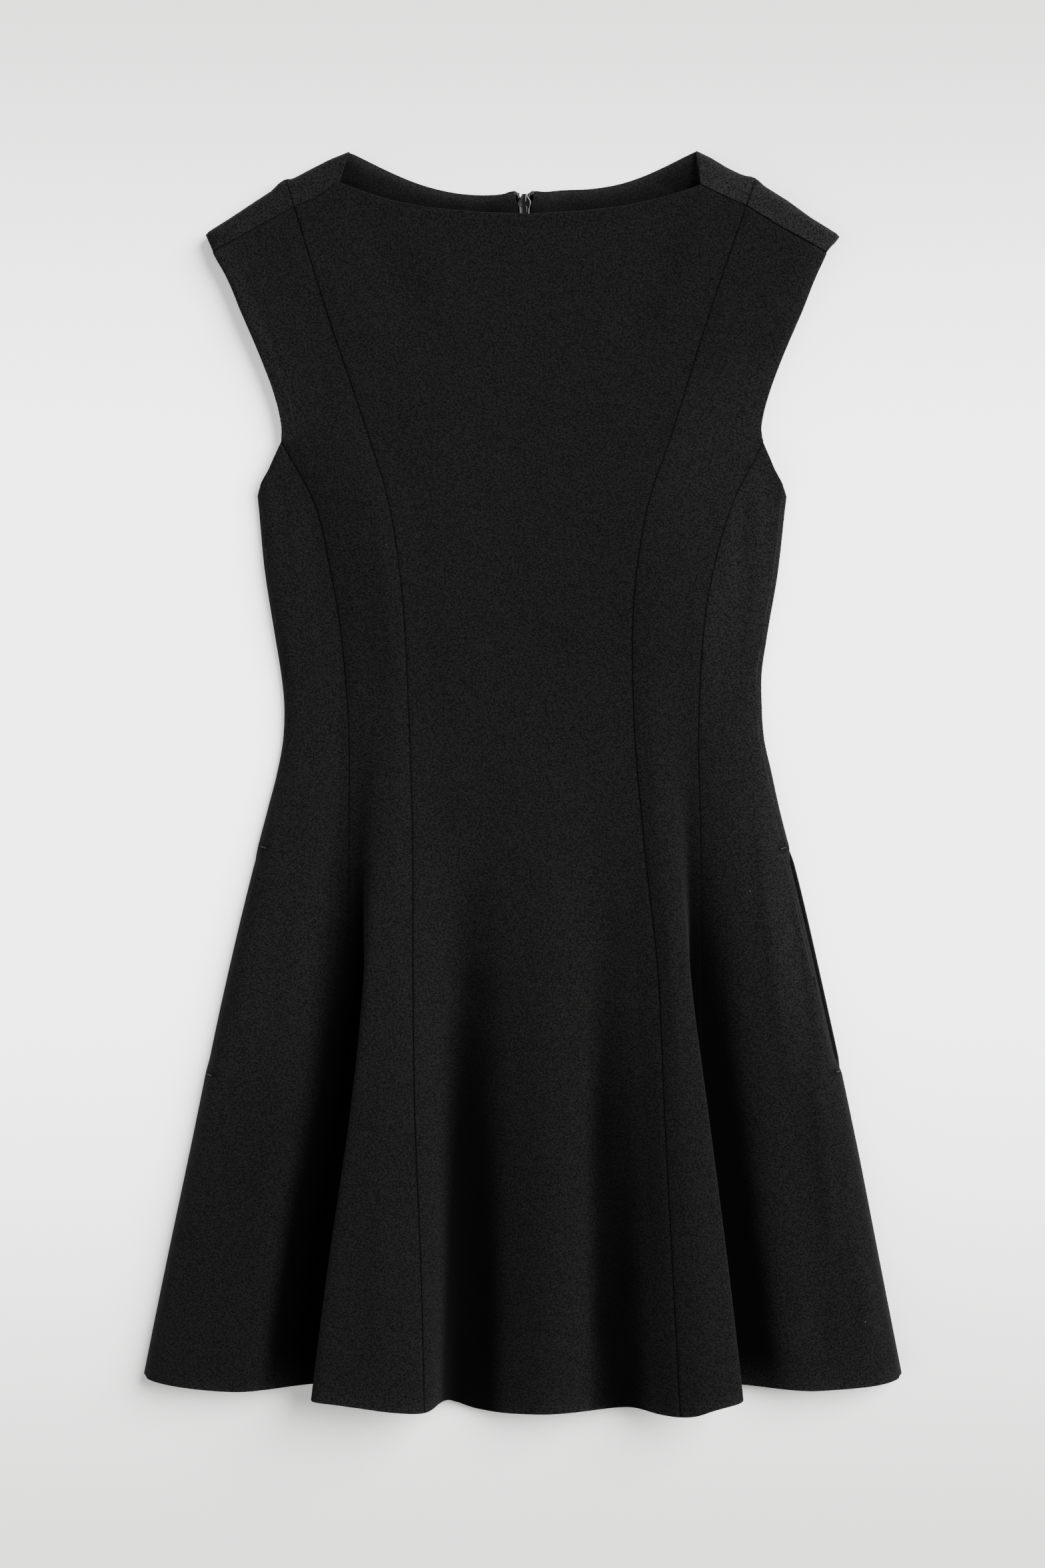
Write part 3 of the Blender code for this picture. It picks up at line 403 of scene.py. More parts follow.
def sweep(path, radius, sides=8):
    # a tube: circles of the given radius about each path point, square to the path
    path = np.asarray(path, float)
    radius = np.broadcast_to(radius, len(path))
    way = np.gradient(path, axis=0)
    way /= np.linalg.norm(way, axis=1)[:, None]
    a = np.cross(way, np.where(np.abs(way[:, 2:]) > 0.9, [[1.0, 0, 0]], [[0, 0, 1.0]]))
    a /= np.linalg.norm(a, axis=1)[:, None]
    b = np.cross(a, way)
    turn = (np.arange(sides) * 2 * pi / sides)[None, :, None]
    ring = a[:, None] * np.cos(turn) + b[:, None] * np.sin(turn)
    number = numbered(len(path), sides)
    points = path[:, None] + ring * radius[:, None, None]
    return points.reshape(-1, 3), quadsOf(np.concatenate([number, number[:, :1]], 1))


def beads(name, centres, way, up, size, rings=4, sides=6):
    # Many small lens-shaped grains: each is a sphere of rings x sides, stretched by size along
    # its own three directions.
    way = way / np.linalg.norm(way, axis=1)[:, None]
    side = np.cross(up, way)
    side /= np.maximum(np.linalg.norm(side, axis=1), 1e-9)[:, None]
    lift = np.cross(way, side)
    phi = np.linspace(0, pi, rings + 1)[1:-1]
    theta = np.arange(sides) * 2 * pi / sides
    waist = np.repeat(np.cos(phi), sides)
    ball = np.column_stack([waist, np.outer(np.sin(phi), np.cos(theta)).ravel(),
                            np.outer(np.sin(phi), np.sin(theta)).ravel()])
    ball = np.vstack([[[1.0, 0, 0]], ball, [[-1.0, 0, 0]]])
    local = (ball * size)[None, :, :, None]
    points = centres[:, None] + local[:, :, 0] * way[:, None] + local[:, :, 1] * side[:, None]
    points = points + local[:, :, 2] * lift[:, None]
    count = len(ball)
    k = np.arange(sides)
    nxt = (k + 1) % sides
    triangles = [np.stack([np.zeros(sides, int), 1 + k, 1 + nxt], 1)]
    for r in range(rings - 2):
        a, b = 1 + r * sides, 1 + (r + 1) * sides
        triangles.append(np.stack([a + k, b + k, b + nxt], 1))
        triangles.append(np.stack([a + k, b + nxt, a + nxt], 1))
    a = 1 + (rings - 2) * sides
    triangles.append(np.stack([a + k, np.full(sides, count - 1), a + nxt], 1))
    faces = np.concatenate(triangles)[None] + (np.arange(len(centres)) * count)[:, None, None]
    return meshObject(name, points.reshape(-1, 3), faces.reshape(-1, 3))


def gridPath(points, distance, target, axis):
    # the point of each row (axis 1) or column (axis 0) where the distance grid reaches the target
    if axis == 0:
        points, distance = points.transpose(1, 0, 2), distance.T
    flip = distance[:, 0] > distance[:, -1]
    points = np.where(flip[:, None, None], points[:, ::-1], points)
    distance = np.where(flip[:, None], distance[:, ::-1], distance)
    k = np.clip((distance < target).sum(1), 1, distance.shape[1] - 1)
    row = np.arange(len(k))
    a, b = distance[row, k - 1], distance[row, k]
    t = np.clip((target - a) / np.maximum(b - a, 1e-9), 0, 1)[:, None]
    return points[row, k - 1] * (1 - t) + points[row, k] * t


def along(path, up, step, start):
    # points every step along a path, with the directions and the path's normals there
    run = np.concatenate([[0], np.cumsum(np.linalg.norm(np.diff(path, axis=0), axis=1))])
    at = np.arange(start, run[-1] - start, step)

    def pick(s, rows):
        return np.stack([np.interp(s, run, column) for column in rows.T], 1)

    return pick(at, path), pick(at + 0.2, path) - pick(at - 0.2, path), pick(at, up)


# finishes

class Wire:
    # a node's output that sums, products and differences can be written with
    def __init__(self, kit, socket):
        self.kit, self.socket = kit, socket

    def maths(self, operation, a, b=0.0):
        return self.kit.node("ShaderNodeMath", {"operation": operation}, {0: a, 1: b})

    def __add__(self, other):
        return self.maths("ADD", self, other)

    def __radd__(self, other):
        return self.maths("ADD", other, self)

    def __sub__(self, other):
        return self.maths("SUBTRACT", self, other)

    def __rsub__(self, other):
        return self.maths("SUBTRACT", other, self)

    def __mul__(self, other):
        return self.maths("MULTIPLY", self, other)

    def __rmul__(self, other):
        return self.maths("MULTIPLY", other, self)

    def sine(self):
        return self.maths("SINE", self)

    def above(self, edge, width):
        # 0 below the edge, 1 a width above it, smooth between
        settings = {"interpolation_type": "SMOOTHSTEP"}
        inputs = {0: self, 1: edge, 2: edge + width, 3: 0.0, 4: 1.0}
        return self.kit.node("ShaderNodeMapRange", settings, inputs)


class Finish:
    # a material whose nodes are added by one method
    def __init__(self, name, fixed):
        self.material = bpy.data.materials.new(name)
        self.material.use_nodes = True
        self.tree = self.material.node_tree
        self.shader = self.tree.nodes["Principled BSDF"]
        for socket, value in fixed.items():
            self.shader.inputs[socket].default_value = value
        self.place = self.node("ShaderNodeTexCoord", out=3)

    def node(self, kind, settings=None, inputs=None, out=0):
        made = self.tree.nodes.new(kind)
        for key, value in (settings or {}).items():
            setattr(made, key, value)
        for key, value in (inputs or {}).items():
            self.feed(made.inputs[key], value)
        return Wire(self, made.outputs[out])

    def feed(self, socket, value):
        if isinstance(value, Wire):
            self.tree.links.new(value.socket, socket)
        else:
            socket.default_value = value

    def noise(self, where, scale, detail=2.0, rough=0.5):
        inputs = {"Vector": where, "Scale": scale, "Detail": detail, "Roughness": rough}
        return self.node("ShaderNodeTexNoise", {}, inputs)

    def turned(self, angles, scale=(1.0, 1.0, 1.0)):
        # the place, turned and stretched
        inputs = {"Vector": self.place, "Rotation": angles, "Scale": scale}
        return self.node("ShaderNodeMapping", {}, inputs)

    def fibres(self, turn, scale):
        # noise drawn out along one direction
        return self.noise(self.turned((0.35, 0.25, turn), (1.0, 6.0, 6.0)), scale, 3.0, 0.6)

    def cells(self, scale, out):
        # 0: distance to the nearest seed, 1: a colour for each cell
        inputs = {"Vector": self.place, "Scale": scale, "Randomness": 1.0}
        return self.node("ShaderNodeTexVoronoi", {"feature": "F1"}, inputs, out)

    def shade(self, name):
        # a number painted on the piece
        return self.node("ShaderNodeAttribute", {"attribute_name": name}, out=2)

    def mixed(self, share, a, b):
        return self.node("ShaderNodeMix", {"data_type": "RGBA"}, {0: share, 6: a, 7: b}, out=2)

    def end(self, colour, roughness, height=None, distance=0.0003, strength=0.5):
        self.feed(self.shader.inputs["Base Color"], colour)
        self.feed(self.shader.inputs["Roughness"], roughness)
        if height is not None:
            inputs = {"Height": height, "Distance": distance, "Strength": strength}
            self.feed(self.shader.inputs["Normal"], self.node("ShaderNodeBump", {}, inputs))
        return self.material


def grey(value, warm=0.0):
    # a grey a little towards yellow
    return (value * (1 + warm), value, value * (1 - warm), 1.0)


def woolFinish(name, look):
    # Felt: the colour runs from low to high with two sizes of mottle and has dark flecks, paler flecks
    # and sparse lint; two painted numbers mix in a pale grey as painted highlight along edges and on
    # some panels, and near black as painted shade in hollows, seams and under edges. The bump is nap,
    # hairs and mottle over faint diagonal twill ribs.
    made = Finish(name, {"Specular IOR Level": look["specular"], "Sheen Weight": look["sheen"],
                         "Sheen Roughness": look["sheenRoughness"]})
    # the pattern is turned, so that no plane of the noise's cells lies in the cloth
    turned = made.turned((0.7, 0.5, 0.3))
    mottle = made.noise(turned, look["mottle"], 2.0, 0.6)
    fibre = made.noise(turned, look["mottle"] * 3.1, 3.0, 0.7)
    cloud = made.noise(made.place, 60.0, 3.0, 0.6)
    tone = mottle.above(0.36, 0.28) * 0.7 + fibre.above(0.36, 0.28) * 0.3 + cloud.above(0.3, 0.4) * 0.02
    colour = made.mixed(tone, grey(look["low"]), grey(look["high"], 0.008))
    dark = made.noise(turned, look["flecks"], 4.0, 0.7).above(0.59, 0.10)
    colour = made.mixed(dark * 0.75, colour, grey(look["low"] * 0.4))
    pale = made.noise(turned, look["flecks"] * 1.3, 4.0, 0.7).above(0.60, 0.14)
    colour = made.mixed(pale * 0.6, colour, grey(look["high"] * 2.2))
    chance = made.node("ShaderNodeSeparateColor", {}, {0: made.cells(look["lint"], 1)}, out=0)
    lint = (1 - made.cells(look["lint"], 0).above(0.028, 0.02)) * chance.above(0.965, 0.01)
    colour = made.mixed(lint * 0.7, colour, grey(0.03))
    # painted highlight: a pale grey mixed in by the painted number, over a mottle
    highlightMottle = mottle.above(0.4, 0.2) * 0.75 + 0.15
    colour = made.mixed(made.shade("paintedHighlight") * highlightMottle, colour, grey(look["highlight"]))
    # painted shade: near black mixed in by the painted number
    colour = made.mixed(made.shade("paintedShade"), colour, grey(look["low"] * 0.05))
    grain = made.node("ShaderNodeUVMap", {"uv_map": "grain"})
    across, up = [made.node("ShaderNodeSeparateXYZ", {}, {0: grain}, out=k) for k in (0, 1)]
    pitch = 2 * pi / look["twillPitch"]
    ribs = (across * (pitch * 0.5) + up * (pitch * 0.866)).sine()
    hairs = made.fibres(0.5, look["hairs"]) + made.fibres(1.9, look["hairs"] * 1.1)
    hairs = hairs + made.fibres(2.8, look["hairs"] * 0.9)
    nap = made.noise(turned, look["nap"], 3.0, 0.7)
    height = nap * 0.5 + hairs * 0.3 + mottle * 1.1 + fibre * 0.25 + ribs * look["twill"]
    return made.end(colour, 0.86 + mottle * 0.12, height, look["depth"], look["strength"])


def plainFinish(name, fixed, look):
    # one noise mixes the two greys and adds to the roughness; it, or a finer one, is the bump
    made = Finish(name, fixed)
    grain = made.noise(made.place, *look["grain"])
    low, high, warm = look["greys"]
    rough, share = look["rough"]
    fine = made.noise(made.place, look["brushAndHighlight"]) if "brushAndHighlight" in look else grain
    colour = made.mixed(grain, grey(low), grey(high, warm))
    return made.end(colour, rough + grain * share, fine, *look["bump"])


wool = {
    "low": 0.0007,
    "high": 0.0053,
    # grey of the painted highlight
    "highlight": 0.009,
    "mottle": 840.0,  # features per metre
    "flecks": 900.0,
    "nap": 1500.0,
    "hairs": 420.0,
    "lint": 62.0,
    "twillPitch": 0.0013,
    "twill": 0.10,
    "depth": 0.00045,
    "strength": 0.75,
    "specular": 0.012,
    "sheen": 0.02,
    "sheenRoughness": 0.45,
}
# painted light: a lighter copy of the wool for the neck facing, where its top catches the light, with a
# paler painted highlight
litFacingWool = dict(wool, low=0.002, high=0.0068, highlight=0.016, nap=1900.0, depth=0.0003)
pocketing = dict(wool, nap=2400.0, depth=0.00012, twill=0.4, sheen=0.005)
tape = dict(wool, low=0.0008, high=0.0018, nap=2600.0, twill=0.9, twillPitch=0.0007, depth=0.00018,
            lint=20.0, sheen=0.004)
# the folded tape ends are given a paler grey than the tape
paleTape = dict(wool, low=0.018, high=0.04, nap=2600.0, depth=0.00018)
metal = {"grain": (900.0, 3.0, 0.6), "brushAndHighlight": 5200.0, "bump": (0.00002, 0.35)}  # smudges and a fine brush
# a lighter copy of the plating: painted highlight
highlightMetal = dict(metal, greys=(0.022, 0.05, 0.008), rough=(0.26, 0.18))
darkMetal = dict(metal, greys=(0.003, 0.008, 0.008), rough=(0.36, 0.18))
plated = {"Metallic": 1.0, "Coat Weight": 0.15, "Coat Roughness": 0.2}
thread = {"grain": (3800.0, 2.0), "rough": (0.5, 0.2), "bump": (0.00008, 0.6)}  # twisted
coil = {"grain": (1400.0, 3.0), "greys": (0.002, 0.005, 0.0), "rough": (0.32, 0.2), "bump": (0.00004, 0.4)}

highlightNickel = plainFinish("highlight_nickel", plated, highlightMetal)
blackWool = woolFinish("black_wool", wool)
litBlackFacing = woolFinish("black_facing", litFacingWool)
blackPocketing = woolFinish("black_pocketing", pocketing)
zipTape = woolFinish("black_zip_tape", tape)
tapeEnd = woolFinish("pale_tape_end", paleTape)
darkNickel = plainFinish("dark_nickel", plated, darkMetal)
satin = {"Specular IOR Level": 0.05}
blackThread = plainFinish("black_thread", satin, dict(thread, greys=(0.002, 0.006, 0.0)))
tackThread = plainFinish("bartack_thread", satin, dict(thread, greys=(0.007, 0.018, 0.0)))
blackCoil = plainFinish("black_coil", {"Specular IOR Level": 0.08}, coil)
print("finishes made")


def dressed(piece, finish, replaces=(), body="dress"):
    # the piece gets its finish, its body, its slot and the nodes that it stands for
    piece.data.materials.clear()
    piece.data.materials.append(finish)
    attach(piece, body)
    if replaces:
        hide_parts(*replaces)
    return piece


# front

pocket = {
    "top": -43.0,
    "foot": -206.0,
    "ends": 14.0,  # it eases into the side seam over this length
    "slip": (0.9, 2.8),  # its front edge lies this far inside the back's, left and right
    "slipReach": 14.0,
    "line": 0.5,  # a narrow line of painted highlight along the front edge
    "lineWidth": 1.2,
    "highlightLess": 0.8,  # and less painted highlight beside it
    "darkened": 0.6,  # the painted highlight is cut by this share within the next distance
    "darkenedReach": 20.0,
    "shade": 0.75,  # painted shade on the back in the pocket's mouth
    "shadeReach": 8.0,
    "tackDip": 0.4,  # a bartack pulls the cloth down
    # painted shade about a bartack
    "tackShade": 0.8,
    "tackReach": 2.6,
    "tackStretch": 1.5,  # its reach across is this much longer
}
bartacks = (
    # x and y of the middle, and heading in degrees
    (-183.8, -44.6, -14.0),
    (184.2, -44.6, 14.0),
    (-221.6, -205.0, -14.0),
    (222.0, -204.0, 14.0),
)
front = {
    "step": 2.6,  # grid size
    "overlap": 0.1,  # neighbouring panels pass each other by this much in a seam
    "seamDip": 0.42,
    "seamDipWidth": 1.7,
    "seamAllowance": 14.0,
    "neckAllowance": 12.0,
    "allowanceRise": 0.22,
    "hemAllowance": 50.0,
    "hemRise": 0.45,
    "turnedEdge": 10.0,
    "turnedNeck": 8.0,
    "turnedRise": 0.35,
    "stitchDip": 0.3,
    "uneven": ((0.16, 46.0, 5), (0.05, 13.0, 8)),  # height, size, seed
    "cell": 3.0,  # mesh of the height map that finds the hollows for the painted shade
    "reach": 30.0,  # how far round a point counts
    "closeReach": 7.0,  # and beside the front's edges
    "hollowStart": 0.5,  # painted shade starts this far below its surroundings
    "hollowFull": 7.9,
    "hollowFree": 26.0,  # fades within this distance of a free side edge
    "hollowShare": 0.95,
    "hemLight": (0.5, -400.0, 26.0),  # the hollows' painted shade lets go of the hem: share, below which y, over
    "seamWidth": 0.62,  # half width of the painted shade along a seam
    "seamShade": 0.97,
    "highlightReach": (9.0, 4.5),  # painted highlight within this distance of a free edge, left and right
    "highlightShare": (0.85, 0.7),
    "hemHighlight": 0.6,
    "brushAndHighlight": ((0.0, 0.55, 26.0), (0.6, 0.0, 42.0)),  # painted highlight beside the sides: high, low, reach
    "sideHighlightFrom": -260.0,  # the low value runs over into the high one from here up
    # painted highlight over a panel: share, and above which y
    "lifted": {"frontSideRight": (0.3, 130.0), "sidePanelRight": (0.44, -20.0)},
    "liftedTop": 330.0,
    # painted shade: share of darkening low and high on a panel
    "darkened": {
        "sidePanelLeft": (0.27, 0.0),
        "frontSideLeft": (0.13, 0.06),
        "frontSideRight": (0.08, 0.0),
        "frontCentre": (0.13, 0.04),
    },
    "darkenedBelow": 120.0,  # low is from here down, -y
    "darkenedAbove": -20.0,  # high from here up
}


def fadeFrom(y, start, over=160.0):
    # 0 below the start, easing to 1
    return ease((y - start) / over)


def pocketSpan(y):
    # 1 between the pocket's two bartacks, easing to 0 at them
    return ease((pocket["top"] - y) / pocket["ends"]) * ease((y - pocket["foot"]) / pocket["ends"])


def tacked(x, y):
    # 1 at a bartack, fading in a bell about it
    near = [np.hypot((x - x0) / pocket["tackStretch"], y - y0) for x0, y0, heading in bartacks]
    return bell(np.min(near, axis=0), pocket["tackReach"])


def uneven(x, y, height, size, seed):
    # the sum of 18 sine waves of wavelengths near size, in seeded random directions
    rng = np.random.default_rng(seed)
    headings = rng.uniform(0, pi, 18)
    lengths = rng.uniform(0.7, 1.6, 18) * size
    phases = rng.uniform(0, 7, 18)
    total = np.zeros(x.shape)
    for heading, length, phase in zip(headings, lengths, phases):
        total += np.sin((x * np.cos(heading) + y * np.sin(heading)) * 2 * pi / length + phase)
    return height * total / 4.0


def creased(x, y):
    # Each crease is depth * bell(d, half), with d the distance from its bowed line, eased to
    # nothing at its two ends.
    total = np.zeros(x.shape)
    for x0, y0, x1, y1, bow, depth, half in creases:
        length = np.hypot(x1 - x0, y1 - y0)
        ux, uy = (x1 - x0) / length, (y1 - y0) / length
        t = ((x - x0) * ux + (y - y0) * uy) / length
        d = (x - x0) * -uy + (y - y0) * ux - 4 * bow * t * (1 - t)
        total += depth * bell(d, half) * ease(t / cloth["creaseEnds"]) * ease((1 - t) / cloth["creaseEnds"])
    return total


def closeColumns(line, isRim):
    # distances of the columns beside a panel's rim; in a seam they pass it by the overlap
    if not isRim:
        return np.zeros(1)
    return np.array(edgeSteps) - (0 if line in (sideLine, lastLine) else front["overlap"])


def frontGrid(stations, chest):
    # Rows run up from the hem and columns across from the first station line to the last;
    # both are closest at the rims.
    first, last, step = stations[0], stations[-1], front["step"]
    centre = (first + last) / 2
    kneeTable = np.full(lineTable.shape, cloth["knee"]) if chest else underarmTable

    def yAt(line, v):
        # y at a share v of the way: 0 hem, 1 armhole or underarm, 2 shoulder
        foot, knee = np.interp(line, lineTable, hemTable), np.interp(line, lineTable, kneeTable)
        return np.where(v <= 1, foot + (knee - foot) * v, knee + (topOfFront(line) - knee) * (v - 1))

    knee = np.interp(centre, lineTable, kneeTable)
    v = spacing(knee - np.interp(centre, lineTable, hemTable), step, True, not chest)
    if chest:
        v = np.concatenate([v, 1 + spacing(topOfFront(centre) - knee, step, False, True)[1:]])
    lines = frontLines(yAt(centre, v))
    columns = []
    for a, b in zip(stations[:-1], stations[1:]):
        length = np.linalg.norm(lines[:, b] - lines[:, a], axis=-1)[:, None]
        low, high = closeColumns(a, a == first), closeColumns(b, b == last)
        count = max(2, int(round((length.max() - low[-1] - high[-1]) / step)))
        start, end = low[None] / length, 1 - high[None, ::-1] / length
        between = start[:, -1:] + (end[:, :1] - start[:, -1:]) * np.linspace(0, 1, count + 1)[None, 1:-1]
        share = np.concatenate([start, between, end], 1)
        columns.append(a + (b - a) * (share if b == last else share[:, :-1]))
    line = np.concatenate(columns, 1)
    return frontAt(line, yAt(line, v[:, None])), line


def layer(d, width):
    # 1 over a layer that lies below as far as its width, easing to 0 over 3 mm
    return ease((width + 1.5 - d) / 3.0)


def seamLift(d, width):
    # a dip along a seam, with the rise of the allowance below
    return front["allowanceRise"] * layer(d, width) - front["seamDip"] * bell(d, front["seamDipWidth"])


def turnedLift(d):
    # the rise of a turned edge, with a dip along its stitches
    edge = front["turnedEdge"]
    return front["turnedRise"] * layer(d, edge) - front["stitchDip"] * bell(d - edge, 0.8)


def frontPanel(stations, chest):
    # The panel's grid, lifted by creases, seams, turned edges and allowances; with it go the
    # painted shade of the seam lines, the painted highlight along free edges and a mask that is 0 at
    # the free edges.
    points, line = frontGrid(stations, chest)
    ends = (stations[0], stations[-1])
    rim, span = rims(points), pocketSpan(points[..., 1])
    for side in (0, 1):
        if ends[side] in (sideLine, lastLine):  # the pocket's front edge slips inwards
            slip = pocket["slip"][side] * span * bell(rim[side], pocket["slipReach"])
            points[..., 0] += (1 - 2 * side) * slip
    n, reach = normals(points), rims(points)
    fromFoot, fromTop = reach[2:]
    x, y = points[..., 0], points[..., 1]
    lift = creased(x, y) - pocket["tackDip"] * tacked(x, y)
    for height, size, seed in front["uneven"]:
        lift = lift + uneven(x, y, height, size, seed)
    groove, inside = np.zeros(x.shape), np.ones(x.shape)
    # painted highlight along the hem
    paintedHighlight = front["hemHighlight"] * np.exp(-fromFoot / front["highlightReach"][1])
    for side, end in enumerate(ends):
        d, atSide = reach[side], end in (sideLine, lastLine)
        free = atSide | ((y > cloth["knee"]) & (end in (outerLine, lastLine - outerLine)))
        if not atSide:
            lift = lift + np.where(free, turnedLift(d), seamLift(d, front["seamAllowance"]))
        # painted shade along the seams
        groove = np.maximum(groove, np.where(free, 0, bell(d, front["seamWidth"])))
        # painted highlight along a free edge, a narrow line of it at a pocket's mouth and a band beside the
        # side seams
        highlight = front["highlightShare"][side] * np.exp(-d / front["highlightReach"][side])
        highlight = highlight * (1 - pocket["highlightLess"] * span) + pocket["line"] * span * bell(d, pocket["lineWidth"])
        high, low, wide = front["brushAndHighlight"][side]
        brushAndHighlight = (low + (high - low) * fadeFrom(y, front["sideHighlightFrom"])) * bell(d, wide) * atSide
        brushAndHighlight = brushAndHighlight * (1 - pocket["darkened"] * span * bell(d, pocket["darkenedReach"]))
        paintedHighlight = np.maximum(paintedHighlight, np.where(free, np.maximum(highlight, brushAndHighlight), 0))
        inside = np.where(free, inside * ease(d / front["hollowFree"]), inside)
    lift = lift + front["hemRise"] * layer(fromFoot, front["hemAllowance"])
    if chest:
        neck = (line > drapeLine) & (line < lastLine - drapeLine)
        turned = front["turnedRise"] * layer(fromTop, front["turnedNeck"])
        lift = lift + np.where(neck, turned, seamLift(fromTop, front["neckAllowance"]))
        groove = np.maximum(groove, np.where(neck, 0, bell(fromTop, front["seamWidth"])))
    else:
        lift = lift + turnedLift(fromTop)
    near = np.clip(np.min(reach, axis=0) / 3.0, 0, 1)
    lift = lift * np.clip(n[..., 2], 0, 1) ** 2 * (0.35 + 0.65 * near)
    return points + n * lift[..., None], n, reach, groove * front["seamShade"], paintedHighlight, inside


def heightMap(grids, reach):
    # The mean height of the front about each cell, and the share of cells that hold cloth there:
    # heights in cells, blurred by a bell of the reach's width, over the same blur of the cells.
    cell = front["cell"]
    places = np.concatenate([g.reshape(-1, 3) for g in grids])
    low = places[:, :2].min(0) - 2 * cell
    size = ((places[:, :2].max(0) + 2 * cell - low) / cell).astype(int) + 1
    index = ((places[:, :2] - low) / cell).astype(int)
    height = np.zeros(size)
    np.maximum.at(height, (index[:, 0], index[:, 1]), places[:, 2])
    blurs = []
    for count in size:
        apart = (np.arange(count)[:, None] - np.arange(count)[None]) * cell / reach
        blurs.append(np.exp(-(apart**2) / 2) * cell / reach / np.sqrt(2 * pi))
    cover = blurs[0] @ (height > 0) @ blurs[1]
    return low, blurs[0] @ height @ blurs[1] / np.maximum(cover, 1e-6), cover


def readMap(low, level, points):
    # the map's value at each point, between its four nearest cells
    at = (points[..., :2] - low) / front["cell"] - 0.5
    i = np.clip(at.astype(int), 0, np.array(level.shape) - 2)
    u, v = np.moveaxis(np.clip(at - i, 0, 1), -1, 0)
    i, j = np.moveaxis(i, -1, 0)
    near = level[i, j] * (1 - u) + level[i + 1, j] * u
    return near * (1 - v) + (level[i, j + 1] * (1 - u) + level[i + 1, j + 1] * u) * v


def frontShades(name, grid, reach, groove, paintedHighlight, inside):
    # Painted shade grows from 0 where the cloth is level with its surroundings to its share well below
    # them; seams and bartacks get painted shade as dark, and some panels get painted shade all over.
    # Some panels get painted highlight.
    x, y, z = np.moveaxis(grid, -1, 0)
    below = readMap(mapped[0], mapped[1], grid) - z - front["hollowStart"]
    paintedShade = front["hollowShare"] * ease(below / (front["hollowFull"] - front["hollowStart"])) * inside
    if name != "frontCentre":
        share, foot, width = front["hemLight"]
        paintedShade = paintedShade * (1 - share * ease((foot - y) / width))
    paintedShade = np.maximum(np.maximum(paintedShade, groove), pocket["tackShade"] * tacked(x, y))
    low, high = front["darkened"].get(name, (0, 0))
    darkened = low * fadeFrom(-y, front["darkenedBelow"]) + high * fadeFrom(y, front["darkenedAbove"])
    darkened = darkened * inside
    share, start = front["lifted"].get(name, (0, 0))
    lifted = share * fadeFrom(y, start) * fadeFrom(-y, -front["liftedTop"], 80.0)
    if name == "sidePanelRight":
        lifted = lifted * (1 - pocket["darkened"] * pocketSpan(y) * bell(reach[1], pocket["darkenedReach"]))
    return {"paintedShade": paintedShade * (1 - darkened) + darkened, "paintedHighlight": np.maximum(paintedHighlight, lifted)}


frontPieces = {}
for name, node, stations, chest in (
    ("frontCentre", "front_centre", (7, 8, 9, 10, 11), True),
    ("frontSideLeft", "front_side_left", (3, 4, 5, 6, 7), True),
    ("frontSideRight", "front_side_right", (11, 12, 13, 14, 15), True),
    ("sidePanelLeft", "side_panel_left", (0, 1, 2, 3), False),
    ("sidePanelRight", "side_panel_right", (15, 16, 17, 18), False),
):
    frontPieces[name] = (node, *frontPanel(stations, chest))
frontGrids = [made[1] for made in frontPieces.values()]
mapped = heightMap(frontGrids, front["reach"])
closeMap = heightMap(frontGrids, front["closeReach"])
for name, (node, grid, n, *rest) in frontPieces.items():
    piece = closedShell(name, grid, cloth["wall"], frontShades(name, grid, *rest))
    dressed(piece, blackWool, (node,))
print("front made")

# back

back = {
    "step": 4.0,
    "level": 1.0,
    "inset": 0.4,
    "mouthOut": (0.0, 0.8),  # the back shows beside a pocket by this much, left and right
    "seamRise": (2.0, 5.0, 6.0),  # its outer edge turns up to meet the front: height, reach, end
    "rollSteps": 9,
    "forwardRows": (0.25, 0.5, 0.75, 0.9),  # shares of the way from the roll to the last rows
    # the last rows' distances from the shoulder seam, and the most share of the way they may take
    "lastRows": ((2.0, 0.4), (0.9, 0.2), (0.3, 0.08), (0.0, 0.0)),
    "hemShare": 0.45,  # how far the hem has risen at the princess seam
    "seamDip": 0.12,
    "dipWidth": 1.6,
    "seamWidth": 0.45,  # of its painted shade
    "lap": 0.02,  # the side panel goes on under the centre by this share of a fold line's spacing
    # columns close to the seam, in fold lines, so that its shade stays narrow
    "closeOuter": (0.06, 0.12),
    "closeInner": (0.035, 0.015),
    "neckColumns": (2.8, 3.2, 4.0, 5.2, 6.4, 7.6, 9.0, 11.0, 13.5),  # beside the zip
    "highlight": (0.3, 0.95),  # how much painted highlight it has, left and right
}


def zipLift(x, y):
    # how far the back and the zip rise near the pull's tab
    return cloth["zipLift"] * (1 - fadeFrom(np.abs(x), *cloth["zipSide"])) * fadeFrom(y, *cloth["zipFrom"])


def backHeight(x, y):
    # flat on the table, lifted over the pull tab, with soft folds that grow towards the hem
    z = back["level"] + zipLift(x, y)
    for hemX, endX, endY, rise, width in backFolds:
        t = np.clip((endY - y) / (endY - cloth["backHemMiddle"]), 0, 1)
        place = endX + (hemX - endX) * t
        z = z + rise * t * (1 - ease(np.abs(x - place) / (width * (0.55 + 0.45 * t))))
    return z


def onTable(flat):
    # x and y with the back's height there
    return np.dstack([flat, backHeight(flat[..., 0], flat[..., 1])])


def coons(foot, top, inner, outer, u, v):
    # the blend of four edges: u runs across, v up; rungs plus rails less the corners' share
    across, up = u[None, :, None], v[:, None, None]
    rungs = (1 - up) * foot[None] + up * top[None]
    rails = (1 - across) * inner[:, None] + across * outer[:, None]
    low = (1 - across) * foot[0] + across * foot[-1]
    high = (1 - across) * top[0] + across * top[-1]
    return rungs + rails - (1 - up) * low - up * high


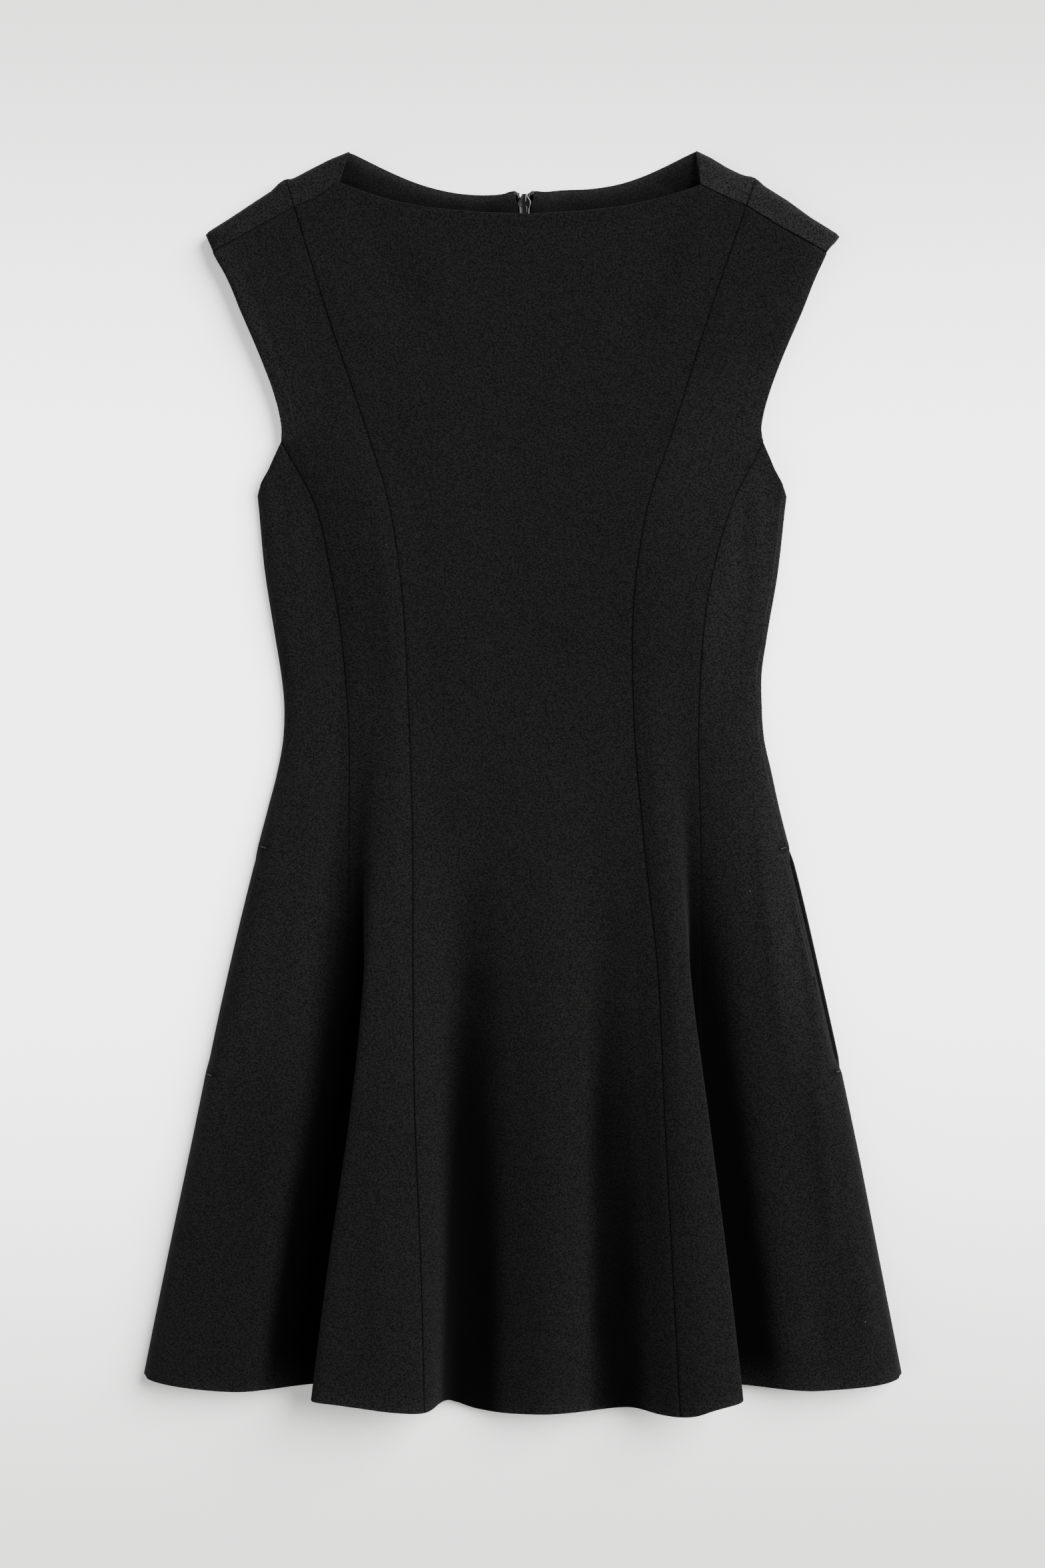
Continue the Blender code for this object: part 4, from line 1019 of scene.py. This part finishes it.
def onSide(line, side):
    # a fold line of the left half, or its fellow in the right half
    return abs(lastLine * side - line)


def backEdge(y, side):
    # distance of the back's outer edge from the centre line
    below = smooth(y, sideOutline)[..., side]
    turn = polyline(y, [(v, abs(u)) for u, v in underarm[side]])
    above = smooth(y, armholeOutline)[..., side]
    x = np.where(y <= sideOutline[1][0], below, np.where(y < cloth["knee"], turn, above))
    return x - back["inset"] + (back["inset"] + back["mouthOut"][side]) * pocketSpan(y)


def cornerNear(distance, reach):
    # 1 at the neck's corner, easing to 0 at this reach
    return 1 - ease(distance / reach)


def shoulderRoll(side, line):
    # Each column leaves the table, goes out to the outline in a half ellipse and comes forward
    # to the shoulder seam; beside the neck's corner the lower half is a long soft slope.
    seam = frontAt(line, topOfFront(line))
    outline = rolls[side]
    tip, neck = outline[-side][0], outline[side - 1][0]
    marks = [onSide(mark, side) for mark in (outerLine, seamLine, drapeLine)]
    x = polyline(line, list(zip(marks, (tip, backCorner[side], neck))))
    out = np.stack([x, polyline(x, outline)], -1)
    inward = seam[:, :2] - out
    inward /= np.linalg.norm(inward, axis=1)[:, None]
    half = ((seam[:, 2] - back["level"]) / 2)[None]
    turn = np.linspace(-pi / 2, pi / 2, 2 * back["rollSteps"] + 1)[:, None]
    climb = np.clip(1 + 2 * turn / pi, 0, 1)  # 0 on the table, 1 at the outline
    soft = cornerNear(np.abs(x) - abs(backCorner[side]), cloth["cornerReach"])[None]
    depth = cloth["rollDepth"] + cloth["neckSlope"] * soft
    low = depth * ((1 - soft) * (1 - np.cos(turn)) + soft * (1 - climb))
    inwards = np.where(turn < 0, low, cloth["rollDepth"] * (1 - np.cos(turn)))
    slope = (1 - soft) * (1 + np.sin(turn)) + soft * np.sin(pi / 2 * climb)
    risen = np.where(turn < 0, slope, 1 + np.sin(turn))
    flat = out[None] + inward[None] * inwards[..., None]
    roll = np.dstack([flat, back["level"] + half * risen])
    reach = np.linalg.norm(seam[:, :2] - roll[-1, :, :2], axis=1)
    before, most = np.array(back["lastRows"]).T[..., None]
    last = 1 - np.minimum(before / reach, most)
    share = np.concatenate([np.array(back["forwardRows"])[:, None] * last[0], last])[..., None]
    return np.concatenate([roll, roll[-1][None] * (1 - share) + seam[None] * share])


def backPanel(roll, innerEdge, outerEdge, hem):
    # The flat part below a roll: a blend of four edges above the underarm and one below it.
    knee = sideOutline[1][0]
    top = roll[0, :, :2]
    share = np.abs(top[:, 0] - top[0, 0]) / abs(top[-1, 0] - top[0, 0])
    chestV = np.concatenate([np.linspace(0, 0.86, 26)[:-1], np.linspace(0.86, 1, 14)])
    chestIn, chestOut = [knee + (top[end, 1] - knee) * chestV for end in (0, -1)]
    inner = np.column_stack([innerEdge(chestIn), chestIn])
    outer = np.column_stack([outerEdge(chestOut), chestOut])
    inner[-1], outer[-1] = top[0], top[-1]
    waist = np.column_stack([inner[0, 0] + (outer[0, 0] - inner[0, 0]) * share, np.full(len(top), knee)])
    chest = coons(waist, top, inner, outer, share, chestV)
    bodyV = spacing(knee - hem[0], back["step"], True, False)
    bodyIn, bodyOut = [end + (knee - end) * bodyV for end in hem]
    lowIn = np.column_stack([innerEdge(bodyIn), bodyIn])
    lowOut = np.column_stack([outerEdge(bodyOut), bodyOut])
    foot = lowIn[0] + (lowOut[0] - lowIn[0]) * share[:, None]
    body = coons(foot, waist, lowIn, lowOut, share, bodyV)
    return np.concatenate([onTable(np.concatenate([body[:-1], chest[:-1]])), roll])


def backGrids(side):
    # the centre and the side panel of one half, and what the facing and the zip need of them
    sign = 2 * side - 1
    start = seamLine + back["lap"]
    outerLines = np.linspace(start, outerLine, 23)
    outerLines = np.insert(outerLines, [1, 1], start - np.array(back["closeOuter"]))
    innerLines = np.linspace(drapeLine, seamLine, 13)
    innerLines = np.insert(innerLines, [-1, -1], seamLine + np.array(back["closeInner"]))
    outerRoll, innerRoll = [shoulderRoll(side, onSide(lines, side)) for lines in (outerLines, innerLines)]
    table, steps = backNeck[side], back["rollSteps"]
    corner = table[-1][0]
    neckX = np.concatenate([back["neckColumns"], np.linspace(16.5, corner - 2.0, 32)])
    neckY = smooth(neckX, table)[:, 0]
    near = cornerNear(corner - neckX, cloth["neckRiseReach"])
    rise = (innerRoll[steps, 0, 2] - back["level"]) * near
    climb = np.linspace(0, 1, steps + 1)[:, None]
    soft = np.append(near, cornerNear(np.abs(innerRoll[steps, :, 0]) - corner, cloth["cornerReach"]))
    depth = cloth["rollDepth"] + cloth["neckSlope"] * soft
    y = neckY[None] - depth[: len(neckX)] * (1 - climb)
    neckRows = onTable(np.dstack([np.broadcast_to(neckX * sign, y.shape), y]))
    neckRows[..., 2] += rise[None] * np.sin(pi / 2 * climb)
    cutAway = np.repeat(neckRows[-1:], len(innerRoll) - len(neckRows), axis=0)
    centreRoll = np.concatenate([np.concatenate([neckRows, cutAway]), innerRoll], axis=1)

    def seamAt(y):
        return sign * smooth(y, backSeam)[..., side]

    def zipEdge(y):
        return sign * polyline(y, zipSpread)

    def outlineAt(y):
        return sign * backEdge(y, side)

    hemMiddle, hemSide = cloth["backHemMiddle"], cloth["backHemSide"]
    hemSeam = hemMiddle + back["hemShare"] * (hemSide - hemMiddle)
    centre = backPanel(centreRoll, zipEdge, seamAt, (hemMiddle, hemSeam))
    outer = backPanel(outerRoll, seamAt, outlineAt, (hemSeam, hemSide))
    y, (rise, reach, end) = outer[..., 1], back["seamRise"]
    turned = 1 - ease(rims(outer)[1] / reach)
    outer[..., 2] += rise * turned * ease((sideOutline[1][0] + 2.0 - y) / end) * (1 - pocketSpan(y))
    keep = np.ones((centre.shape[0] - 1, centre.shape[1] - 1), bool)
    rollRows = len(innerRoll)
    keep[steps + 1 - rollRows :, : len(neckX)] = False
    return centre, keep, outer, neckX, rollRows, depth


def seamDips(points, sign):
    # the side panel with dips along its princess seam and its shoulder seam
    edges = rims(points)
    dips = bell(edges[0], back["dipWidth"]) + bell(edges[3], back["dipWidth"])
    return shiftedOut(points, -back["seamDip"] * dips, sign)


def backShades(points, isCentre, sewnFrom, side):
    # painted shade in the princess seam, in the shoulder seam from one column on, and in a pocket's
    # mouth; painted highlight over the rest
    fromLeft, fromRight, fromFoot, fromTop = rims(points)
    fromTop = fromTop + 99.0 * (np.arange(points.shape[1]) < sewnFrom)
    groove = bell(np.minimum(fromRight if isCentre else fromLeft, fromTop), back["seamWidth"])
    mouth = pocketSpan(points[..., 1]) * bell(fromRight, pocket["shadeReach"]) * (not isCentre)
    paintedShade = np.maximum(groove * front["seamShade"], pocket["shade"] * mouth)
    return {"paintedShade": paintedShade, "paintedHighlight": back["highlight"][side] * (1 - mouth)}


backs = {}
for side, name in ((0, "Left"), (1, "Right")):
    centre, keep, outer, *rest = backGrids(side)
    outer = seamDips(outer, 2 * side - 1)
    shades = backShades(outer, False, 0, side)
    if side == 0:
        outer = outer[:, ::-1]
        shades = {shade: values[:, ::-1] for shade, values in shades.items()}
    piece = closedShell("backSide" + name, outer, cloth["wall"], shades)
    dressed(piece, blackWool, ("back_side_" + name.lower(),))
    shades = backShades(centre, True, len(rest[0]), side)
    piece = walled(openGrid("backCentre" + name, centre, keep, side == 0, shades), cloth["wall"])
    dressed(piece, blackWool, ("back_centre_" + name.lower(),))
    backs[name] = (centre, *rest)
print("back made")

# neck facing, zip and pockets

inside = {
    "facingWall": 1.4,
    "facingLevel": 383.6,  # where it starts
    "facingStart": (5.7, 6.8),  # distance from the centre line, left and right
    "facingSet": 0.7,  # its top lies this far below the neck's edge
    "facingSink": 0.35,  # at its edges, into the cloth
    "facingShade": 0.38,  # painted shade below its top
    "facingDeep": (2.5, 7.0),  # from this distance, over the next one
    "facingEdge": 0.25,  # and painted shade beside the front's edge
    "facingCorner": (0.1, 0.7),  # less painted shade in the neck's corners
    "facingHighlight": (0.0, 0.9),  # painted highlight in the neck's corners, left and right
    "facingTurn": (3.2, 9.0),  # it meets the neck's top and side edges over these widths
    "facingStep": 2.0,
    "cornerSpan": (27.0, 26.0),  # how far inside the neck's corner its painted shade and highlight fade, and over what
    "overTape": (14.5, 14.0),  # it lies over the tape as far as this, and comes down over the next
    "cornerColumns": 5,  # of the shoulder's grid that the facing goes on under
    "tapeWall": 0.5,
    "tapeWidth": 13.5,
    "tapeInner": 1.2,
    "tapeTop": 419.3,
    # the tape's end is folded outwards: distance from the centre line, y, height over the tape, radius
    "tapeEnd": ((3.5, 416.9, 0.1, 0.4), (3.7, 419.0, 0.35, 0.65), (4.8, 420.8, 0.6, 0.75),
                (6.3, 421.9, 0.65, 0.7), (8.0, 422.2, 0.4, 0.3)),
    "zipFoot": -60.0,
    "toothTop": 399.0,
    "toothPitch": 1.25,
    "toothOut": 0.55,
    "tooth": (0.42, 0.95, 0.45),
    "seamPitch": 1.9,
    "seamThread": (0.62, 0.2, 0.2),
    "bagWall": 1.0,
    "bagSpan": (-44.0, -232.0),
    "bagMiddle": -138.0,
    "bagDepth": 104.0,
    "bagMouth": 9.0,  # it starts this far inside the outline
}
tapeTop = cloth["zipLift"] + cloth["wall"] + cloth["gap"] + inside["tapeWall"]


def rowsAt(points, at, axis=0):
    # rows (axis 0) or columns (axis 1) at fractional numbers
    points = np.moveaxis(points, axis, 0)
    low = np.minimum(at.astype(int), len(points) - 2)
    share = (at - low)[:, None, None]
    return np.moveaxis(points[low] * (1 - share) + points[low + 1] * share, 0, axis)


def resampled(points, step, axis):
    # the grid's rows (axis 0) or columns (axis 1) again, even steps apart and closest at the rims
    run = arcs(points, axis).mean(1 - axis)
    at = np.interp(spacing(run[-1], step) * run[-1], run, np.arange(len(run)))
    return rowsAt(points, at, axis)


def belowEdge(centre, rollRows, depth, distance):
    # the line of the back this far below the neck's edge
    lastRow = len(centre) - rollRows + back["rollSteps"] - 2
    share = (distance / (2 * depth / back["rollSteps"]))[:, None]
    return centre[lastRow] * share + centre[lastRow + 2] * (1 - share)


def neckFacing(side, name, centre, neckX, rollRows, depth):
    # The back's grid near the neck, shifted out by both half walls and the gap; at the neck's
    # edges it sinks to the back, and beside the zip it goes over the tape.
    lastRow = len(centre) - rollRows + back["rollSteps"] - 2
    firstRow = int(np.argmax(centre[:, 0, 1] > inside["facingLevel"]))
    base = np.concatenate([centre[firstRow : lastRow + 1],
                           belowEdge(centre, rollRows, depth, inside["facingSet"])[None]])
    columns = np.concatenate([[inside["facingStart"][side]], neckX[neckX > 8.0]])
    at = np.interp(columns, np.abs(base[-1, : len(neckX), 0]), np.arange(len(neckX)))
    at = np.append(at, len(neckX) + np.arange(inside["cornerColumns"]))
    base = resampled(resampled(rowsAt(base, at, 1), inside["facingStep"], 0), inside["facingStep"], 1)
    fromLeft, fromCorner, fromFoot, fromTop = rims(base)
    topTurn, sideTurn = inside["facingTurn"]
    free = ease(fromTop / topTurn) * ease(fromCorner / sideTurn)
    seat = cloth["wall"] / 2 - inside["facingSink"]
    height = seat + (cloth["wall"] / 2 + cloth["gap"] + inside["facingWall"] / 2 - seat) * free
    overTape = 1 - fadeFrom(np.abs(base[..., 0]), *inside["overTape"])
    height = height + (inside["tapeWall"] + cloth["gap"]) * overTape
    facing = shiftedOut(base, height, 2 * side - 1)
    if side == 0:
        facing = facing[:, ::-1]
    # painted shade below the facing's top and beside the front's edge, less of it in the neck's corners,
    # and painted highlight in the right-hand corner
    inset, over = inside["cornerSpan"]
    corner = 1 - ease((backCorner[1] - inset - np.abs(facing[..., 0])) / over)
    cover = readMap(closeMap[0], closeMap[2], facing)
    shade = inside["facingShade"] * fadeFrom(rims(facing)[3], *inside["facingDeep"])
    shade = shade + inside["facingEdge"] * ease(1.7 * cover)
    shades = {"paintedShade": shade * (1 - inside["facingCorner"][side] * corner),
              "paintedHighlight": inside["facingHighlight"][side] * corner}
    piece = closedShell("neckFacing" + name, facing, inside["facingWall"], shades)
    dressed(piece, litBlackFacing, ("neck_facing_" + name.lower(),))


def neckStitches(side, name, centre, neckX, rollRows, depth):
    # stitches of the seam between the neck's edge and the facing
    steps = [inside["facingSet"] + step for step in (0.4, 0.0, -0.4)]
    edge = np.stack([belowEdge(centre, rollRows, depth, step)[: len(neckX)] for step in steps])
    path = shiftedOut(edge, np.full(edge.shape[:2], cloth["wall"] / 2 + 0.1), 2 * side - 1)[1, 2:]
    upwards = np.broadcast_to([0.0, 0.0, 1.0], path.shape)
    places, way, up = along(path, upwards, inside["seamPitch"], 0.8)
    made = beads("neckStitches" + name, places, way, up, inside["seamThread"], 3, 5)
    dressed(made, blackThread)


def tapeBeside(side, name, centre, neckX, rollRows, depth):
    # the back's grid beside the zip, read at the tape's own distances and raised to lie on it
    sign = 2 * side - 1
    rows = centre[: len(centre) - rollRows + back["rollSteps"] + 1]
    rows = rows[(rows[:, 0, 1] > inside["zipFoot"]) & (rows[:, 0, 1] < inside["tapeTop"])]
    inner = np.maximum(inside["tapeInner"], np.abs(rows[:, 0, 0]) - 0.2)[:, None]
    stations = inner + (inside["tapeWidth"] - inner) * np.linspace(0, 1, 9)
    across = np.abs(rows[..., 0])
    lines = zip(stations, across, rows)
    grid = [[np.interp(at, where, column) for column in row.T] for at, where, row in lines]
    grid = np.array(grid).transpose(0, 2, 1)
    grid[..., 0] = sign * stations
    grid[..., 2] += cloth["wall"] / 2 + cloth["gap"] + inside["tapeWall"] / 2
    piece = walled(openGrid("zipTape" + name, grid, flip=side == 0), inside["tapeWall"])
    dressed(piece, zipTape, ("zip_tape_" + name.lower(),))
    end = smooth(np.linspace(0, 4, 17), [(k, *row) for k, row in enumerate(inside["tapeEnd"])])
    points, faces = sweep(end[:, :3] * (sign, 1, 1) + (0, 0, tapeTop), end[:, 3], 12)
    dressed(meshObject("zipTapeEnd" + name, points, faces), tapeEnd)


def coilTeeth(side, name):
    # coil teeth, closed together below the slider
    y = np.arange(inside["zipFoot"] + 2, inside["toothTop"], inside["toothPitch"])
    y = y + side * inside["toothPitch"] / 2
    x = np.full(y.shape, (2 * side - 1) * inside["toothOut"])
    centres = np.column_stack([x, y, tapeTop - 0.15 + zipLift(x, y) - cloth["zipLift"]])
    way, up = np.tile([0.0, 1.0, 0.0], (len(y), 1)), np.tile([0.0, 0.0, 1.0], (len(y), 1))
    dressed(beads("zipTeeth" + name, centres, way, up, inside["tooth"], 3, 6), blackCoil)


def pocketBag(side, name):
    # Two layers from the pocket's mouth, joined by a half circle at the folded inner edge; the
    # depth is part of an ellipse.
    y = np.linspace(*inside["bagSpan"], 60)
    mouth = smooth(y, sideOutline)[..., side] - inside["bagMouth"]
    deep = inside["bagDepth"] * np.sqrt(1 - ((y - inside["bagMiddle"]) / 100.0) ** 2)
    low = cloth["wall"] + cloth["gap"] + inside["bagWall"] / 2
    turn = np.linspace(pi / 2, -pi / 2, 9)[1:-1]
    run = np.linspace(0, 1, 30)[:, None]
    x = np.concatenate([mouth - deep * run, mouth - deep - np.cos(turn)[:, None], mouth - deep * run[::-1]])
    z = np.concatenate([np.full(30, low), low + 1 - np.sin(turn), np.full(30, low + 2)])
    bag = np.stack(np.broadcast_arrays((2 * side - 1) * x, y, z[:, None]), -1)
    piece = walled(openGrid("pocketBag" + name, bag.transpose(1, 0, 2), flip=side == 1), inside["bagWall"])
    dressed(piece, blackPocketing, ("pocket_bag_" + name.lower(),))


for side, name in ((0, "Left"), (1, "Right")):
    neckFacing(side, name, *backs[name])
    neckStitches(side, name, *backs[name])
    tapeBeside(side, name, *backs[name])
    coilTeeth(side, name)
    pocketBag(side, name)
print("inside made")

# slider

slider = {
    "top": 420.4,
    "length": 20.0,
    "plate": 1.3,
    "shift": 0.5,  # its plate stands this far to the right
    "sunk": 0.45,
    "wires": ((-1, 0.2, 0.2), (1, 0.58, 0.5)),  # side, radius of the rim and of the ridge's edge
    "ridge": (0.9, 6.2, 1.4),  # start and end below the top, distance from the middle
    "hinge": (411.0, 2.4),
    "crown": 1.6,
    "crownWire": 0.5,
    "frame": (409.0, 2.6, 2.35),  # middle, half height, half width
    "frameWire": 0.28,
    # distance below the top, half width
    "outline": (
        (0, 1.3), (1, 1.8), (2.1, 2.5), (3.9, 3.7), (5, 4.3), (6.3, 4.6), (8, 4.4), (9.5, 4), (11, 3.7),
        (13.3, 3.55), (17, 3.5), (20, 3.4),
    ),
}


def plateMesh(half, y, bottom, top):
    # the plate's half width runs down its length, and its middle is sunk between the rims
    across = np.linspace(-1, 1, 33)
    sunk = slider["sunk"] * ease((1 - np.abs(across)) / np.where(across < 0, 0.8, 0.22))
    x = half[:, None] * across + slider["shift"]
    upper = np.stack(np.broadcast_arrays(x, y[:, None], top - 0.1 - sunk), -1)
    lower = upper * (1, 1, 0) + (0, 0, bottom)
    number = numbered(*x.shape)
    count = number.size
    ring = np.concatenate([number[0], number[1:, -1], number[-1, -2::-1], number[-2::-1, 0]])
    wall = np.stack([ring[:-1], ring[:-1] + count, ring[1:] + count, ring[1:]], 1)
    faces = np.concatenate([quadsOf(number)[:, ::-1], quadsOf(number + count), wall])
    return np.concatenate([upper.reshape(-1, 3), lower.reshape(-1, 3)]), faces


def sliderMesh():
    # rims, ridges and a frame lie on the plate; the crown's loop stands on its outer side
    down = np.linspace(0, slider["length"], 61)
    half, y = smooth(down, slider["outline"])[:, 0], slider["top"] - down
    bottom = tapeTop + cloth["gap"]
    top = bottom + slider["plate"]
    parts = [(False, *plateMesh(half, y, bottom, top))]
    start, end, out = slider["ridge"]
    run = slider["top"] - np.linspace(start, end, 15)
    taper = np.sqrt(np.clip(1 - np.linspace(-1, 1, 15) ** 6, 0.02, 1))
    # the right-hand rim and ridge and the frame take the painted highlight nickel; the plate, the left-hand
    # rim and ridge and the crown take the dark nickel
    for sign, rimWire, ridgeWire in slider["wires"]:
        rim = np.column_stack([sign * (half - 0.35) + slider["shift"], y, np.full(y.shape, top)])[1:]
        parts.append((sign > 0, *sweep(rim, rimWire, 12)))
        ridge = np.column_stack([np.full(15, sign * out), run, np.full(15, top)])
        parts.append((sign > 0, *sweep(ridge, ridgeWire * taper, 12)))
    middle, tall, wide = slider["frame"]
    turn = np.linspace(0, 2 * pi, 49)
    x, up = [np.sign(v) * np.abs(v) ** 0.4 for v in (np.cos(turn), np.sin(turn))]
    square = np.column_stack([wide * x, middle + tall * up, np.full(turn.shape, top - 0.35)])
    parts.append((True, *sweep(square, slider["frameWire"])))
    y0, z0 = slider["hinge"]
    turn = np.linspace(0, pi, 25)
    loop = slider["crown"] * np.column_stack([np.zeros(25), np.cos(turn), -np.sin(turn)]) + (0, y0, z0)
    loop = np.concatenate([[[0, loop[0, 1], bottom + 0.3]], loop, [[0, loop[-1, 1], bottom + 0.3]]])
    parts.append((False, *sweep(loop, slider["crownWire"], 10)))
    starts = np.cumsum([0] + [len(points) for bright, points, faces in parts])
    joined = np.concatenate([faces + start for start, (bright, points, faces) in zip(starts, parts)])
    highlighted = np.concatenate([np.full(len(faces), bright) for bright, points, faces in parts])
    points = np.concatenate([points for bright, points, faces in parts])
    return meshObject("zipSlider", points, joined), highlighted


zipSlider, highlighted = sliderMesh()
dressed(zipSlider, darkNickel, ("zip_slider",))
# the faces marked get a second slot with the painted highlight nickel
zipSlider.data.materials.append(highlightNickel)
zipSlider.data.polygons.foreach_set("material_index", highlighted.astype(np.int32))
# the zip stops take the painted highlight nickel
plating = {"zip_pull": darkNickel, "zip_stop_left": highlightNickel, "zip_stop_right": highlightNickel}
for node, finish in plating.items():
    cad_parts[node].data.materials.clear()
    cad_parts[node].data.materials.append(finish)
print("zip made")

# stitching

stitching = {
    "pitch": 2.9,
    "thread": (1.15, 0.2, 0.17),
    "sink": 0.05,
    "tackHalf": 2.6,  # half a bartack's length
    "tackThread": (0.65, 0.24, 0.24),
    "tackCount": 15,
    "tackRise": 0.64,  # over the dip that it pulls
}


def topStitches(name, number, inwards):
    # one line of stitches along a turned edge, where the mask inwards allows, sunk into the cloth
    node, points, n, reach, *rest = frontPieces[name]
    skin = points + n * (cloth["wall"] / 2 - stitching["sink"])
    axis = 1 if number < 2 else 0
    path, lift = [gridPath(grid, reach[number], front["turnedEdge"], axis) for grid in (skin, n)]
    use = inwards(path)
    path, lift = path[use], lift[use]
    if path[0, 1] > path[-1, 1]:
        path, lift = path[::-1], lift[::-1]
    centres, way, up = along(path, lift, stitching["pitch"], 1.0)
    made = beads("stitches" + name[0].upper() + name[1:], centres, way, up, stitching["thread"])
    dressed(made, blackThread)


def bartack(name, panel, x, y, heading):
    # a row of threads across a line with this heading, on the panel's surface nearest to x, y
    node, points, n, *rest = frontPieces[panel]
    distance = np.hypot(points[..., 0] - x, points[..., 1] - y) + 9.0 * (n[..., 2] < 0.2)
    i, j = np.unravel_index(np.argmin(distance), distance.shape)
    n = n[i, j]
    way = np.array([np.cos(radians(heading)), np.sin(radians(heading)), 0.0])
    way -= n * (way @ n)
    way /= np.linalg.norm(way)
    count = stitching["tackCount"]
    at = np.linspace(-stitching["tackHalf"], stitching["tackHalf"], count)[:, None]
    centres = points[i, j] + n * (cloth["wall"] / 2 + stitching["tackRise"]) + way * at
    made = beads(name, centres, np.tile(np.cross(n, way), (count, 1)), np.tile(n, (count, 1)),
                 stitching["tackThread"])
    dressed(made, tackThread)


def inChest(path):
    return path[:, 1] > cloth["knee"] + 2


topStitches("frontSideLeft", 0, inChest)
topStitches("frontSideRight", 1, inChest)
topStitches("sidePanelLeft", 3, lambda path: path[:, 0] > -186)
topStitches("sidePanelRight", 3, lambda path: path[:, 0] < 184)
for k, (x, y, heading) in enumerate(bartacks):
    bartack("bartack%d" % (k + 1), "sidePanelLeft" if x < 0 else "sidePanelRight", x, y, heading)
print("stitching made")

# studio

studio = {
    "distance": 2.2,
    "lens": 70.8,
    "aim": (-0.0003, -0.0033),
    "table": 12.0,
    "floor": 0.93,
    "floorEnds": 0.5,
    "farUp": (0.2, 0.42),  # painted shade: the paper darkens from this distance, over this length
    "farDown": (0.12, 0.46),
    "window": (18.6, 48.0, (0.68, 0.41, 0.608)),  # strength, angle in degrees, where it stands
    "reflector": (4.3, 60.0, (-0.80, -0.30, 0.52)),
    "sky": 0.42,
}


def floorFinish():
    # painted shade: the paper darkens and yellows a little towards both ends, smoothly
    made = Finish("paper", {"Roughness": 0.85, "Specular IOR Level": 0.2})
    up = made.node("ShaderNodeSeparateXYZ", {}, {0: made.place}, out=1)
    far = up.above(*studio["farUp"]) + (up * -1.0).above(*studio["farDown"])
    cloud = made.noise(made.place, 1.3, 2.0)
    colour = made.mixed(cloud, grey(studio["floor"] * 0.985), grey(studio["floor"]))
    colour = made.mixed(far, colour, grey(studio["floor"] * studio["floorEnds"], 0.02))
    return made.end(colour, 0.85 + cloud * 0.05)


bpy.ops.mesh.primitive_plane_add(size=studio["table"])
table = bpy.context.object
table.name = "table"
table.data.materials.append(floorFinish())

world = bpy.data.worlds.new("studioSky")
world.use_nodes = True
sky = world.node_tree.nodes["Background"]
sky.inputs["Color"].default_value = (1.0, 1.0, 1.0, 1.0)
sky.inputs["Strength"].default_value = studio["sky"]
bpy.context.scene.world = world

for name in ("window", "reflector"):
    strength, angle, place = studio[name]
    lamp = bpy.data.lights.new(name, "SUN")
    lamp.energy = strength
    lamp.angle = radians(angle)
    light = bpy.data.objects.new(name, lamp)
    light.rotation_euler = Vector(place).to_track_quat("Z", "Y").to_euler()
    bpy.context.scene.collection.objects.link(light)

lens = bpy.data.cameras.new("camera")
lens.lens = studio["lens"]
lens.sensor_width = 36.0
camera = bpy.data.objects.new("camera", lens)
camera.location = (*studio["aim"], studio["distance"])
bpy.context.scene.collection.objects.link(camera)
bpy.context.scene.camera = camera
print("studio made")
